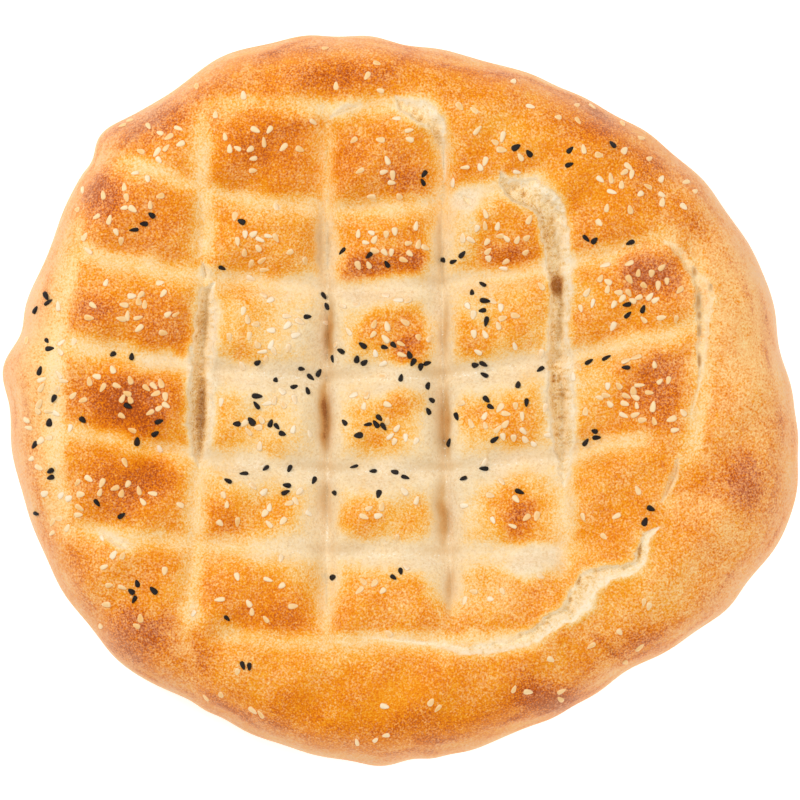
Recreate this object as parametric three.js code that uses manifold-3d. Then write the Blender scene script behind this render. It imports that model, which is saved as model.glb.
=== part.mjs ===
// A round Turkish flatbread: a puffed rim, a grid of finger grooves pressed into the top before baking,
// splits where the crust tore open along those grooves, and sesame and nigella seeds baked into the crust.
// Millimetres, +Z up. The origin is the middle of the flat underside.

import * as THREE from "three";
import { mergeVertices } from "three/addons/utils/BufferGeometryUtils.js";
import Module from "manifold-3d";

const wasm = await Module();
wasm.setup();

// Loaf. The edge seen from above is given as radii at even angles, from +X towards +Y.
const EDGE_RADII = [
  133.3, 130.8, 125.4, 119.4, 119.4, 125.6, 131.5, 133, 130.8,
  133, 131.8, 130.7, 124.4, 123.8, 121, 119, 126.8, 136,
];
// Small puffs and dents round the waist, in degrees from +X towards +Y, with their height and half width.
const EDGE_PUFFS = [
  { at: 8, height: -2, wide: 6 },
  { at: 47, height: 1.3, wide: 5 },
  { at: 67, height: 1.2, wide: 4 },
  { at: 90, height: -1.2, wide: 4 },
  { at: 104, height: 1.4, wide: 4 },
  { at: 128, height: -2, wide: 5 },
  { at: 138, height: 3, wide: 4 },
  { at: 142, height: -1.4, wide: 2 },
  { at: 153, height: -1.2, wide: 5 },
  { at: 170, height: -1.6, wide: 3 },
  { at: 176, height: 2.5, wide: 4 },
  { at: 234, height: -1.1, wide: 5 },
  { at: 238, height: 1.1, wide: 2.5 },
  { at: 267, height: 1.5, wide: 4 },
  { at: 275, height: 1.2, wide: 2.5 },
  { at: 296, height: 1.9, wide: 4 },
  { at: 311, height: -2, wide: 6 },
  { at: 328, height: 1.5, wide: 4 },
  { at: 347, height: 2.8, wide: 7 },
  { at: 355, height: 1.3, wide: 3 },
];
// Ripples round the waist: height, how many go round, and shift.
const EDGE_RIPPLES = [
  { height: 0.3, count: 13, shift: 0.4 },
  { height: 0.35, count: 19, shift: 1.7 },
  { height: 0.25, count: 31, shift: 0.9 },
];
const MIDDLE_HEIGHT = 31; // top of the loaf in its sunken middle
const CREST_HEIGHT = 38; // top of the puffed rim
const WAIST_HEIGHT = 15; // where the loaf is widest
const HOLLOW_SHARE = 0.3; // share of the radius at which the top starts to rise to the rim
const CREST_SHARE = 0.8; // share of the radius at which the rim is highest
const BASE_SHARE = 0.94; // share of the radius that stands on the table

// Slow waves that make the top uneven: height, length along x and along y, and shift.
const WAVES = [
  { height: 0.9, alongX: 41, alongY: 57, shift: 1.3 },
  { height: 0.7, alongX: -63, alongY: 38, shift: 0.4 },
  { height: 0.5, alongX: 24, alongY: -29, shift: 2.6 },
];

// Finger grooves. A column lies at x and a row at y. The bow is how far a groove bends over BOW_SPAN, on both
// sides of the place named as its middle. Each has a gentle side towards -X or +Y and a steep one opposite.
const BOW_SPAN = 100;
const GROOVE_END = 9; // length over which a groove's end runs out
const DEEP_REACH = 45; // grooves are at full depth this near the middle
const SHALLOW_REACH = 115; // and at SHALLOW_SHARE of it from here on
const SHALLOW_SHARE = 0.75;
const COLUMN_POWER = 1.25; // the foot of a column is sharp
const ROW_POWER = 1.8; // and that of a row is round
const GENTLE_SIDE = 1.3; // share of the groove's width that the gentle side takes
const STEEP_SIDE = 0.75; // and the steep side
const COLUMNS = [
  { at: -116.5, bow: 16, middle: -5, from: -46, to: 66, depth: 3.5, width: 6 },
  { at: -66.2, bow: -4, middle: 40, from: -88, to: 98, depth: 5.5, width: 5 },
  { at: -24.7, bow: 0, middle: 0, from: -84, to: 98, depth: 9, width: 5 },
  { at: 14.3, bow: 3, middle: 40, from: -72, to: 92, depth: 8.5, width: 5 },
  { at: 54.3, bow: 3, middle: 40, from: -66, to: 66, depth: 5, width: 5 },
  { at: 103, bow: -38, middle: 20, from: -36, to: 52, depth: 3.5, width: 6 },
];
const ROWS = [
  { at: 98.8, bow: 0, middle: 0, from: -66, to: 12, depth: 4, width: 5 },
  { at: 64.5, bow: 27, middle: -16, from: -106, to: 50, depth: 4.8, width: 5.5 },
  { at: 38, bow: 14.5, middle: -15, from: -114, to: 92, depth: 5.2, width: 5.5 },
  { at: 7, bow: 14, middle: -15, from: -116, to: 100, depth: 5.6, width: 5.5 },
  { at: -24.5, bow: 13, middle: -8, from: -115, to: 86, depth: 5.6, width: 5.5 },
  { at: -52.5, bow: 7, middle: 5, from: -110, to: 62, depth: 4.8, width: 5.5 },
  { at: -81.5, bow: 4, middle: 0, from: -64, to: 46, depth: 4, width: 5 },
];

// Splits in the crust: points that each one runs through, as x, y and gape there, and its depth.
const SPLITS = [
  {
    path: [
      [-62.7, 39.4, 0.8], [-65, 35.6, 5], [-65.6, 29, 6.4], [-66.8, 15, 7.4], [-67.6, -2, 7.4],
      [-68, -10, 6.4], [-68.1, -17.4, 4.2], [-67.6, -22.5, 0.8],
    ],
    depth: 3,
  },
  {
    path: [
      [-1.5, 102.7, 0.8], [1.1, 99.6, 3.7], [8.2, 96.3, 5.8], [12, 93.2, 5.6], [13.4, 88.5, 3.6],
      [14.6, 83.3, 1.9], [15.2, 74, 0.6],
    ],
    depth: 2,
  },
  {
    path: [
      [34.2, 77, 0.8], [35.8, 74, 3.8], [38.8, 71.4, 7.3], [44.7, 69, 9.6], [50, 65, 10.4], [52.2, 56.7, 9],
      [54, 40.2, 7.2], [53.8, 18, 7.4], [54.6, 2, 8.4], [55.2, -14, 6.4], [55.8, -29, 1],
    ],
    depth: 3.6,
  },
  {
    path: [
      [89, 53.5, 0.8], [93.2, 51, 2.4], [99.7, 42, 3], [102.6, 36.5, 6], [102.5, 29, 4.8],
      [102, 15, 2.8], [101, 5, 1.2], [98.2, -5, 0.6],
    ],
    depth: 1,
  },
  { path: [[93.9, -19.9, 0.8], [92.7, -25.1, 2.6], [90.7, -29.8, 2.2], [88.4, -34.3, 0.6]], depth: 1.2 },
  {
    path: [
      [87.3, -43.2, 0.8], [83.1, -46.5, 2.8], [81.5, -52, 4], [79.4, -56.2, 4], [74.4, -57.6, 4.8],
      [68.3, -59.1, 6.2], [63.8, -62.5, 7.6], [60.8, -67.5, 7.6], [57.4, -71.5, 7], [52, -74.4, 5.8],
      [47, -78.2, 4.8], [37, -82.7, 3.6], [23, -84.7, 2.6], [13, -82.7, 1.4], [-9, -80.5, 0.6],
    ],
    depth: 1.2,
  },
];
const SPLIT_STEP = 6; // distance between the sections of a split
const SPLIT_CHECKS = 40; // places along a split at which seeds keep clear
const DEEPEST_ASIDE = 0.4; // share of the half gape by which the deepest line lies off the middle
const FULL_GAPE = 0.87; // a split is at full depth where it gapes this share of its widest
const SPLIT_TOP = CREST_HEIGHT + 12; // a height above every part of the loaf

const PILLOW_FILL = 0.56; // share of a pillow's width and height that its seeds reach from its middle

// Seeds: length, width and thickness, and how much narrower one end is. Nigella fell in small handfuls, each
// with its middle, half width and half height. Sesame is counted by pillow between the grooves, rows from +Y
// to -Y and columns from -X to +X, and then by sector of the rim, in degrees from +X towards +Y.
const SEEDS = {
  nigella: {
    size: [3.1, 1.75, 1.4],
    taper: 0.35,
    randomSeed: 11,
    handfuls: [
      { x: 56, y: 84, wide: 40, high: 14, count: 5 },
      { x: 68, y: 57, wide: 16, high: 20, count: 3 },
      { x: 27, y: 48, wide: 24, high: 5, count: 3 },
      { x: 7, y: 75, wide: 5, high: 26, count: 2 },
      { x: -9, y: 47, wide: 28, high: 6, count: 3 },
      { x: -53, y: 58, wide: 10, high: 26, count: 2 },
      { x: -87, y: 60, wide: 20, high: 6, count: 3 },
      { x: -121, y: 28, wide: 6, high: 28, count: 5 },
      { x: -119, y: -8, wide: 8, high: 30, count: 6 },
      { x: -125, y: -37, wide: 3, high: 5, count: 2 },
      { x: -95, y: 15, wide: 16, high: 6, count: 4 },
      { x: -91, y: -12, wide: 20, high: 22, count: 7 },
      { x: -96, y: -37, wide: 10, high: 10, count: 2 },
      { x: -88, y: -65, wide: 9, high: 9, count: 4 },
      { x: -55, y: -90, wide: 12, high: 26, count: 3 },
      { x: -4, y: -60, wide: 30, high: 5, count: 3 },
      { x: -27, y: 31, wide: 8, high: 10, count: 3 },
      { x: -12, y: 18, wide: 14, high: 10, count: 5 },
      { x: 0, y: 14, wide: 18, high: 14, count: 6 },
      { x: -40, y: 7, wide: 32, high: 10, count: 10 },
      { x: -45, y: -10, wide: 22, high: 18, count: 9 },
      { x: -43, y: -28, wide: 26, high: 8, count: 9 },
      { x: -10, y: -9, wide: 20, high: 9, count: 6 },
      { x: 10, y: -2, wide: 3, high: 14, count: 4 },
      { x: -9, y: -26, wide: 18, high: 10, count: 8 },
      { x: 30, y: 31, wide: 20, high: 14, count: 6 },
      { x: 27, y: 15, wide: 5, high: 10, count: 3 },
      { x: 31, y: -1, wide: 26, high: 18, count: 8 },
      { x: 27, y: -27, wide: 16, high: 8, count: 3 },
      { x: 80, y: 31, wide: 24, high: 6, count: 3 },
      { x: 69, y: 14, wide: 14, high: 12, count: 3 },
      { x: 66, y: -13, wide: 12, high: 16, count: 3 },
      { x: 85, y: -41, wide: 9, high: 12, count: 2 },
    ],
    onRim: [],
  },
  sesame: {
    size: [3.25, 1.85, 0.8],
    taper: 0.36,
    randomSeed: 29,
    handfuls: pillowHandfuls([
      [14, 14, 14, 12, 20],
      [16, 20, 26, 22, 22],
      [19, 24, 26, 20, 36],
      [30, 26, 16, 30, 38],
      [22, 14, 10, 10, 6],
      [8, 12, 6, 5, 3],
    ]),
    onRim: [
      { from: 162, to: 206, count: 34 },
      { from: 206, to: 250, count: 9 },
      { from: 250, to: 320, count: 16 },
      { from: 40, to: 110, count: 14 },
      { from: 110, to: 160, count: 10 },
    ],
  },
};
const SEED_RISE = 0.1; // height of a seed's middle over the crust, as a share of its thickness
const SEED_SPACING = 2.2; // a seed that would fall nearer to one already there is left out
const SEED_GAP = 4; // seeds modelled here lie at least this far apart
const SEED_STRIDE = 7; // every seventh seed is modelled, the rest are left to the finish
const STEEPEST_SEED = 0.4; // least upward part of the crust's normal under a seed
const RIM_SEED_SHARES = [0.84, 0.97]; // shares of the radius between which the seeds on the rim lie

// Mesh
const CELLS = 50; // lattice cells across the top
const FOOT_PULL = 4.6; // lattice points within NEAR_SHARE of this from a groove's foot move onto it
const NEAR_SHARE = 0.3;
const FAR_SHARE = 0.7; // and those beyond this share stay where they are
const SKIRT_RINGS = 3; // rings of cells from the waist down to the underside
const FINEST_EDGE = 0.03; // joins and cuts leave no shorter edge than this

const CRUST = new THREE.MeshStandardMaterial({ color: 0xe09a4a, roughness: 0.65, metalness: 0 });

const { clamp, degToRad, euclideanModulo, lerp, radToDeg, smoothstep } = THREE.MathUtils;

// Cubic through even samples of a closed curve: the radius of the edge at an angle.
function edgeRadius(angle) {
  const count = EDGE_RADII.length;
  const place = euclideanModulo((angle / (2 * Math.PI)) * count, count);
  const index = Math.floor(place);
  const t = place - index;
  const [before, start, end, after] = [-1, 0, 1, 2].map((k) => EDGE_RADII[(index + k + count) % count]);
  const slopeIn = (end - before) / 2;
  const slopeOut = (after - start) / 2;
  const twist = 2 * (start - end) + slopeIn + slopeOut;
  const bend = 3 * (end - start) - 2 * slopeIn - slopeOut;
  return ((twist * t + bend) * t + slopeIn) * t + start;
}

// How far the waist stands out from that edge at an angle.
function puffedOut(angle) {
  const puff = ({ at, height, wide }) => {
    const away = euclideanModulo(radToDeg(angle) - at + 180, 360) - 180;
    return height * Math.exp(-((away / wide) ** 2));
  };
  const ripple = ({ height, count, shift }) => height * Math.sin(count * angle + shift);
  const puffs = EDGE_PUFFS.reduce((sum, one) => sum + puff(one), 0);
  return EDGE_RIPPLES.reduce((sum, one) => sum + ripple(one), puffs);
}

// Where a groove's foot lies, at a place along it.
function bowed(groove, along) {
  return groove.at + groove.bow * ((along - groove.middle) / BOW_SPAN) ** 2;
}

// 1 along a groove, running out to 0 at both ends.
function grooveReach(groove, along) {
  const start = smoothstep(along, groove.from - GROOVE_END, groove.from + GROOVE_END);
  return start * (1 - smoothstep(along, groove.to - GROOVE_END, groove.to + GROOVE_END));
}

function grooveDepth(groove, power, across, along) {
  const width = groove.width * (across > 0 ? GENTLE_SIDE : STEEP_SIDE);
  return groove.depth * grooveReach(groove, along) * Math.exp(-((Math.abs(across) / width) ** power));
}

// How far the fingers pressed the top down at a point. Crossing grooves join as a root of cubes, which rounds
// the corners of the pillows.
function pressedDepth(x, y) {
  const columns = COLUMNS.map((groove) => grooveDepth(groove, COLUMN_POWER, bowed(groove, y) - x, y));
  const rows = ROWS.map((groove) => grooveDepth(groove, ROW_POWER, y - bowed(groove, x), x));
  const cubes = [...columns, ...rows].reduce((sum, depth) => sum + depth ** 3, 0);
  const outward = smoothstep(Math.hypot(x, y), DEEP_REACH, SHALLOW_REACH);
  return Math.cbrt(cubes) * lerp(1, SHALLOW_SHARE, outward);
}

function unevenness(x, y) {
  const wave = ({ height, alongX, alongY, shift }) =>
    height * Math.sin(2 * Math.PI * (x / alongX + y / alongY) + shift);
  return WAVES.reduce((sum, one) => sum + wave(one), 0);
}

// A point of the top: share runs from 0 in the middle to 1 at the waist, where the rim has turned down.
function topPoint(angle, share) {
  const turn = (clamp((share - CREST_SHARE) / (1 - CREST_SHARE), 0, 1) * Math.PI) / 2;
  const reach = Math.min(share, CREST_SHARE) + (1 - CREST_SHARE) * Math.sin(turn);
  const radius = reach * edgeRadius(angle) + puffedOut(angle) * Math.sin(turn) ** 2;
  const x = radius * Math.cos(angle);
  const y = radius * Math.sin(angle);
  const crown = lerp(MIDDLE_HEIGHT, CREST_HEIGHT, smoothstep(reach, HOLLOW_SHARE, CREST_SHARE));
  const height = crown + unevenness(x, y) - pressedDepth(x, y);
  return new THREE.Vector3(x, y, lerp(WAIST_HEIGHT, height, Math.cos(turn)));
}

const topHeight = (x, y) => topPoint(Math.atan2(y, x), Math.hypot(x, y) / edgeRadius(Math.atan2(y, x))).z;

// How far a point moves across to lie on the foot of a groove beside it.
function towardsFoot(grooves, across, along) {
  return grooves.reduce((sum, groove) => {
    const offset = bowed(groove, along) - across;
    const pull = 1 - smoothstep(Math.abs(offset), NEAR_SHARE * FOOT_PULL, FAR_SHARE * FOOT_PULL);
    return sum + offset * pull * grooveReach(groove, along);
  }, 0);
}

// A point of the lattice. Inside the rim the lines of the lattice follow the grooves.
function latticePoint(angle, share) {
  const point = topPoint(angle, share);
  if (share > CREST_SHARE) return point;
  const x = point.x + towardsFoot(COLUMNS, point.x, point.y);
  const y = point.y + towardsFoot(ROWS, point.y, point.x);
  return point.set(x, y, topHeight(x, y));
}

// A point of the skirt below the waist: fall runs from 0 at the waist to 1 at the underside.
function skirtPoint(angle, fall) {
  const turn = (fall * Math.PI) / 2;
  const inset = lerp(BASE_SHARE, 1, Math.cos(turn));
  const radius = edgeRadius(angle) * inset + puffedOut(angle) * Math.cos(turn) ** 2;
  const height = WAIST_HEIGHT * (1 - Math.sin(turn));
  return new THREE.Vector3(radius * Math.cos(angle), radius * Math.sin(angle), height);
}

// A square lattice bent into a disc, so that its lines run like the grooves and its border is the waist.
function discPlace(column, row) {
  const u = (2 * column) / CELLS - 1;
  const v = (2 * row) / CELLS - 1;
  const a = u * Math.sqrt(1 - (v * v) / 2);
  const b = v * Math.sqrt(1 - (u * u) / 2);
  return { angle: Math.atan2(b, a), share: Math.min(1, Math.hypot(a, b)) };
}

// The lattice's border, anticlockwise, as [column, row].
function borderCells() {
  const side = [...Array(CELLS).keys()];
  return [
    ...side.map((k) => [k, 0]),
    ...side.map((k) => [CELLS, k]),
    ...side.map((k) => [CELLS - k, CELLS]),
    ...side.map((k) => [0, CELLS - k]),
  ];
}

function loafGeometry() {
  const points = [];
  const triangles = [];
  const add = (point) => points.push(point) - 1;
  const quad = (a, b, c, d) => triangles.push(a, b, c, a, c, d);

  const lattice = [];
  for (let row = 0; row <= CELLS; row++) {
    lattice.push([]);
    for (let column = 0; column <= CELLS; column++) {
      const { angle, share } = discPlace(column, row);
      lattice[row].push(add(latticePoint(angle, share)));
    }
  }
  for (let row = 0; row < CELLS; row++) {
    for (let column = 0; column < CELLS; column++) {
      const [a, b] = [lattice[row][column], lattice[row][column + 1]];
      const [d, c] = [lattice[row + 1][column], lattice[row + 1][column + 1]];
      // The diagonal runs towards the middle, which keeps the corner cells of the lattice open.
      const turned = (column < CELLS / 2) === (row < CELLS / 2);
      if (turned) quad(a, b, c, d);
      else quad(b, c, d, a);
    }
  }

  const border = borderCells();
  let upper = border.map(([column, row]) => lattice[row][column]);
  for (let ring = 1; ring <= SKIRT_RINGS; ring++) {
    const fall = ring / SKIRT_RINGS;
    const lower = border.map(([column, row]) => add(skirtPoint(discPlace(column, row).angle, fall)));
    lower.forEach((_, k) => {
      const next = (k + 1) % lower.length;
      quad(upper[k], lower[k], lower[next], upper[next]);
    });
    upper = lower;
  }

  const foot = add(new THREE.Vector3(0, 0, 0));
  upper.forEach((corner, k) => triangles.push(foot, upper[(k + 1) % upper.length], corner));
  return new THREE.BufferGeometry().setFromPoints(points).setIndex(triangles);
}

// A split as a curve: x and y of its middle, with the gape there as z.
function splitCurve(split) {
  return new THREE.CatmullRomCurve3(split.path.map((point) => new THREE.Vector3(...point)));
}

// A knife that opens one split: sections with the edge down in the crumb and the back above the loaf.
function splitGeometry(split) {
  const curve = splitCurve(split);
  const steps = Math.ceil(curve.getLength() / SPLIT_STEP);
  const widest = Math.max(...split.path.map(([, , gape]) => gape));
  const points = [];
  const triangles = [];
  for (let step = 0; step <= steps; step++) {
    const { x, y, z: gape } = curve.getPointAt(step / steps);
    const ahead = curve.getTangentAt(step / steps).setZ(0).normalize();
    const aside = new THREE.Vector3(-ahead.y, ahead.x, 0).multiplyScalar(gape / 2);
    const crust = topHeight(x, y);
    const middle = new THREE.Vector3(x, y, crust);
    const left = middle.clone().add(aside);
    const right = middle.clone().sub(aside);
    const depth = split.depth * Math.min(1, gape / (widest * FULL_GAPE));
    points.push(middle.addScaledVector(aside, -DEEPEST_ASIDE).setZ(crust - depth));
    points.push(right, right.clone().setZ(SPLIT_TOP), left.clone().setZ(SPLIT_TOP), left);
  }
  const sides = points.length / (steps + 1);
  for (let step = 0; step < steps; step++) {
    for (let side = 0; side < sides; side++) {
      const next = (side + 1) % sides;
      const [now, then] = [step * sides, (step + 1) * sides];
      triangles.push(now + side, then + next, now + next, now + side, then + side, then + next);
    }
  }
  for (let side = 2; side < sides; side++) {
    const last = steps * sides;
    triangles.push(0, side - 1, side, last, last + side, last + side - 1);
  }
  return new THREE.BufferGeometry().setFromPoints(points).setIndex(triangles);
}

// A seed lying along x: an egg with its narrow end towards +X.
function seedGeometry(size, taper) {
  const geometry = new THREE.IcosahedronGeometry(1, 0);
  geometry.deleteAttribute("normal");
  geometry.deleteAttribute("uv");
  const seed = mergeVertices(geometry);
  const place = seed.getAttribute("position");
  for (let k = 0; k < place.count; k++) {
    place.setY(k, place.getY(k) * (1 - taper * place.getX(k)));
  }
  return seed.scale(size[0] / 2, size[1] / 2, size[2] / 2);
}

// Even draws from 0 to 1, the same on every run.
function drawer(seed) {
  let state = seed;
  return () => {
    state = (Math.imul(state, 1664525) + 1013904223) >>> 0;
    return state / 2 ** 32;
  };
}

// The seeds of each pillow as a handful, gathered towards the pillow's middle.
function pillowHandfuls(countsByRow) {
  return countsByRow.flatMap((counts, row) =>
    counts.map((count, column) => {
      const [left, right] = [COLUMNS[column].at, COLUMNS[column + 1].at];
      const x = (left + right) / 2;
      const y = (bowed(ROWS[row], x) + bowed(ROWS[row + 1], x)) / 2;
      const high = (ROWS[row].at - ROWS[row + 1].at) * PILLOW_FILL;
      return { x, y, wide: (right - left) * PILLOW_FILL, high, count };
    }),
  );
}

// Where the seeds of a kind lie, beside those already there: the handfuls first, then those on the rim.
function seedPlaces(kind, taken) {
  const { size, taper, randomSeed, handfuls, onRim } = SEEDS[kind];
  const draw = drawer(randomSeed);
  const bell = () => (draw() + draw() + draw()) / 1.5 - 1;
  const places = [];
  const put = (x, y) => {
    const turn = draw() * 2 * Math.PI;
    const near = (other) => Math.hypot(other.x - x, other.y - y) < SEED_SPACING;
    if (![...taken, ...places].some(near)) places.push({ size, taper, x, y, turn });
  };
  for (const { x, y, wide, high, count } of handfuls) {
    for (let k = 0; k < count; k++) put(x + wide * bell(), y + high * bell());
  }
  for (const { from, to, count } of onRim) {
    for (let k = 0; k < count; k++) {
      const angle = degToRad(lerp(from, to, draw()));
      const radius = edgeRadius(angle) * lerp(...RIM_SEED_SHARES, draw());
      put(radius * Math.cos(angle), radius * Math.sin(angle));
    }
  }
  return places;
}

function solidOf(geometry) {
  return new wasm.Manifold(
    new wasm.Mesh({
      numProp: 3,
      vertProperties: new Float32Array(geometry.getAttribute("position").array),
      triVerts: new Uint32Array(geometry.getIndex().array),
      tolerance: FINEST_EDGE,
    }),
  );
}

function geometryOf(solid) {
  const { vertProperties, triVerts } = solid.getMesh();
  return new THREE.BufferGeometry()
    .setAttribute("position", new THREE.BufferAttribute(vertProperties, 3))
    .setIndex(new THREE.BufferAttribute(triVerts, 1));
}

// The seeds modelled here: spread out, clear of the splits, and not on a steep side.
function fusedSeeds(loaf) {
  const ray = new THREE.Raycaster();
  const down = new THREE.Vector3(0, 0, -1);
  const up = new THREE.Vector3(0, 0, 1);
  const splits = SPLITS.flatMap((split) => {
    const points = splitCurve(split).getSpacedPoints(SPLIT_CHECKS);
    return points.map(({ x, y, z: gape }) => ({ x, y, clear: gape / 2 + SEED_GAP }));
  });
  const places = Object.keys(SEEDS)
    .reduce((all, kind) => [...all, ...seedPlaces(kind, all)], [])
    .filter((_, k) => k % SEED_STRIDE === 0);
  const kept = [];
  const solids = [];
  for (const { size, taper, x, y, turn } of places) {
    if (kept.some((other) => Math.hypot(other.x - x, other.y - y) < SEED_GAP)) continue;
    if (splits.some((split) => Math.hypot(split.x - x, split.y - y) < split.clear)) continue;
    ray.set(new THREE.Vector3(x, y, 2 * CREST_HEIGHT), down);
    const [hit] = ray.intersectObject(loaf);
    if (!hit || hit.face.normal.z < STEEPEST_SEED) continue;
    const lean = new THREE.Quaternion().setFromUnitVectors(up, hit.face.normal);
    const spin = new THREE.Quaternion().setFromAxisAngle(up, turn);
    const middle = hit.point.clone().addScaledVector(hit.face.normal, SEED_RISE * size[2]);
    const seed = seedGeometry(size, taper).applyQuaternion(lean.multiply(spin)).translate(...middle);
    kept.push({ x, y });
    solids.push(solidOf(seed));
  }
  return solids;
}

function breadMesh() {
  let solid = solidOf(loafGeometry());
  for (const split of SPLITS) solid = solid.subtract(solidOf(splitGeometry(split)));
  const crust = new THREE.Mesh(geometryOf(solid), CRUST);
  for (const seed of fusedSeeds(crust)) solid = solid.add(seed);
  const bread = new THREE.Mesh(geometryOf(solid), CRUST);
  bread.geometry.computeVertexNormals();
  bread.name = "bread";
  return bread;
}

const flatbread = new THREE.Group();
flatbread.add(breadMesh());

export default flatbread;
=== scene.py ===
# %% [markdown]
# # A Turkish flatbread
#
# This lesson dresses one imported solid, a round flatbread, for a picture taken from straight above. The
# loaf has a puffed rim, a grid of finger grooves, splits that show the crumb, and two kinds of seed.
# Everything is worked out in millimetres, as a baker would measure it, and turned into metres at the end.

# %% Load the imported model
import math

import bmesh
import bpy
import numpy as np
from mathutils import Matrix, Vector, noise
from mathutils.bvhtree import BVHTree


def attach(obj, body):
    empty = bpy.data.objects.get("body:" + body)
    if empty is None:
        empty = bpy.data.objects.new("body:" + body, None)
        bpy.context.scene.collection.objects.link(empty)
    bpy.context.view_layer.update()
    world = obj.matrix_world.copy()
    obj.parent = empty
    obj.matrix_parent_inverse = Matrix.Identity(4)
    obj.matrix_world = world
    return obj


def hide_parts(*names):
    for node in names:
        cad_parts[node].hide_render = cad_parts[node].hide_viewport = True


MM = 0.001
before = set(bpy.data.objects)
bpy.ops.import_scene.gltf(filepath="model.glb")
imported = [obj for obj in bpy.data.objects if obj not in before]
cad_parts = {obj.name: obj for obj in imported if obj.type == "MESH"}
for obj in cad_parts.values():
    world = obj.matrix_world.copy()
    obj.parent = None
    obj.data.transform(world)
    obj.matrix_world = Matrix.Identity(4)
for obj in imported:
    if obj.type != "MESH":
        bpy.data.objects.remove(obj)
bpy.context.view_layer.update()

# %% [markdown]
# ## The camera
#
# The bread is seen from straight above, with a long lens, so that the rim hides almost nothing of the
# side. The lens follows from how wide a field the picture shows at the height where the loaf is widest.

# %% Place the camera
FIELD_WIDTH = 272  # what the picture shows from side to side, at the height of the loaf's waist
CAMERA_HEIGHT = 3000
WAIST_HEIGHT = 15
SENSOR_WIDTH = 36


def put_in_scene(thing):
    bpy.context.scene.collection.objects.link(thing)


camera_data = bpy.data.cameras.new("overhead_camera")
camera_data.sensor_width = SENSOR_WIDTH
camera_data.lens = SENSOR_WIDTH * (CAMERA_HEIGHT - WAIST_HEIGHT) / FIELD_WIDTH
camera = bpy.data.objects.new("overhead_camera", camera_data)
camera.location = (0, 0, CAMERA_HEIGHT * MM)
put_in_scene(camera)
bpy.context.scene.camera = camera
print("lens", round(camera_data.lens, 1), "mm")

# %% [markdown]
# ## The loaf's own form
#
# The edge of the loaf is a closed curve through a few radii, with small puffs round the waist. Inside it
# the top is a shallow hollow that rises to the rim, rolls over it and runs down to the flat underside. It
# could be sculpted, but as a formula every later step can ask where the crust is. One number, the share,
# walks from the middle (0) over the rim to the waist (1) and on to the underside.

# %% Edge, rim and skirt
EDGE_RADII = np.array(
    [133.3, 130.8, 125.4, 119.4, 119.4, 125.6, 131.5, 133, 130.8]
    + [133, 131.8, 130.7, 124.4, 123.8, 121, 119, 126.8, 136]
)
EDGE_PUFFS = [  # degrees from +X towards +Y, height, half width in degrees
    (8, -2, 6),
    (47, 1.3, 5),
    (67, 1.2, 4),
    (90, -1.2, 4),
    (104, 1.4, 4),
    (128, -2, 5),
    (138, 3, 4),
    (142, -1.4, 2),
    (153, -1.2, 5),
    (170, -1.6, 3),
    (176, 2.5, 4),
    (234, -1.1, 5),
    (238, 1.1, 2.5),
    (267, 1.5, 4),
    (275, 1.2, 2.5),
    (296, 1.9, 4),
    (311, -2, 6),
    (328, 1.5, 4),
    (347, 2.8, 7),
    (355, 1.3, 3),
]
EDGE_WAVES = [  # height, how many round the edge, shift
    (0.3, 13, 0.4), (0.35, 19, 1.7), (0.25, 31, 0.9),
]
MIDDLE_HEIGHT = 31
CREST_HEIGHT = 38
HOLLOW_SHARE = 0.3
CREST_SHARE = 0.8
BASE_SHARE = 0.94
SKIRT_SHARE = 0.14  # how much further the share runs below the waist


def smoothstep(value, low, high):
    t = np.clip((value - low) / (high - low), 0, 1)
    return t * t * (3 - 2 * t)


def edge_radius(angle):
    """Cubic through even samples of a closed curve."""
    count = len(EDGE_RADII)
    place = np.mod(angle / (2 * math.pi) * count, count)
    index = np.floor(place).astype(int)
    t = place - index
    before, start, end, after = (EDGE_RADII[(index + k) % count] for k in (-1, 0, 1, 2))
    slope_in = (end - before) / 2
    slope_out = (after - start) / 2
    twist = 2 * (start - end) + slope_in + slope_out
    bend = 3 * (end - start) - 2 * slope_in - slope_out
    return ((twist * t + bend) * t + slope_in) * t + start


def puffed_out(angle):
    total = np.zeros_like(angle)
    for at, height, wide in EDGE_PUFFS:
        away = np.mod(np.degrees(angle) - at + 180, 360) - 180
        total += height * np.exp(-((away / wide) ** 2))
    return total + sum(height * np.sin(count * angle + shift) for height, count, shift in EDGE_WAVES)


def plan_of(angle, share):
    """Where a share lies on the plan, and how far the rim (over) and the skirt (under) have turned there."""
    over = np.clip((share - CREST_SHARE) / (1 - CREST_SHARE), 0, 1) * math.pi / 2
    under = np.clip((share - 1) / SKIRT_SHARE, 0, 1) * math.pi / 2
    reach = np.minimum(share, CREST_SHARE) + (1 - CREST_SHARE) * np.sin(over)
    reach = reach - (1 - BASE_SHARE) * (1 - np.cos(under))
    radius = reach * edge_radius(angle) + puffed_out(angle) * np.sin(over) ** 2 * np.cos(under) ** 2
    return radius * np.cos(angle), radius * np.sin(angle), reach, over, under


test_angles = np.radians(np.arange(0, 360, 90.0))
print("edge radii at the four sides", edge_radius(test_angles).round(1))

# %% [markdown]
# ## Finger grooves
#
# A baker presses the fingertips into the risen dough in rows and columns. A column keeps a sharp foot and a
# row a round one, and each has a gentle side towards the upper left and a steep one opposite. As bowed
# lines with a depth they can be moved one by one, which a sculpted top would not allow. Where two cross,
# their depths are joined as a root of cubes, so the corners of the pillows come out round and the crossing
# is one smooth dimple.

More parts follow.
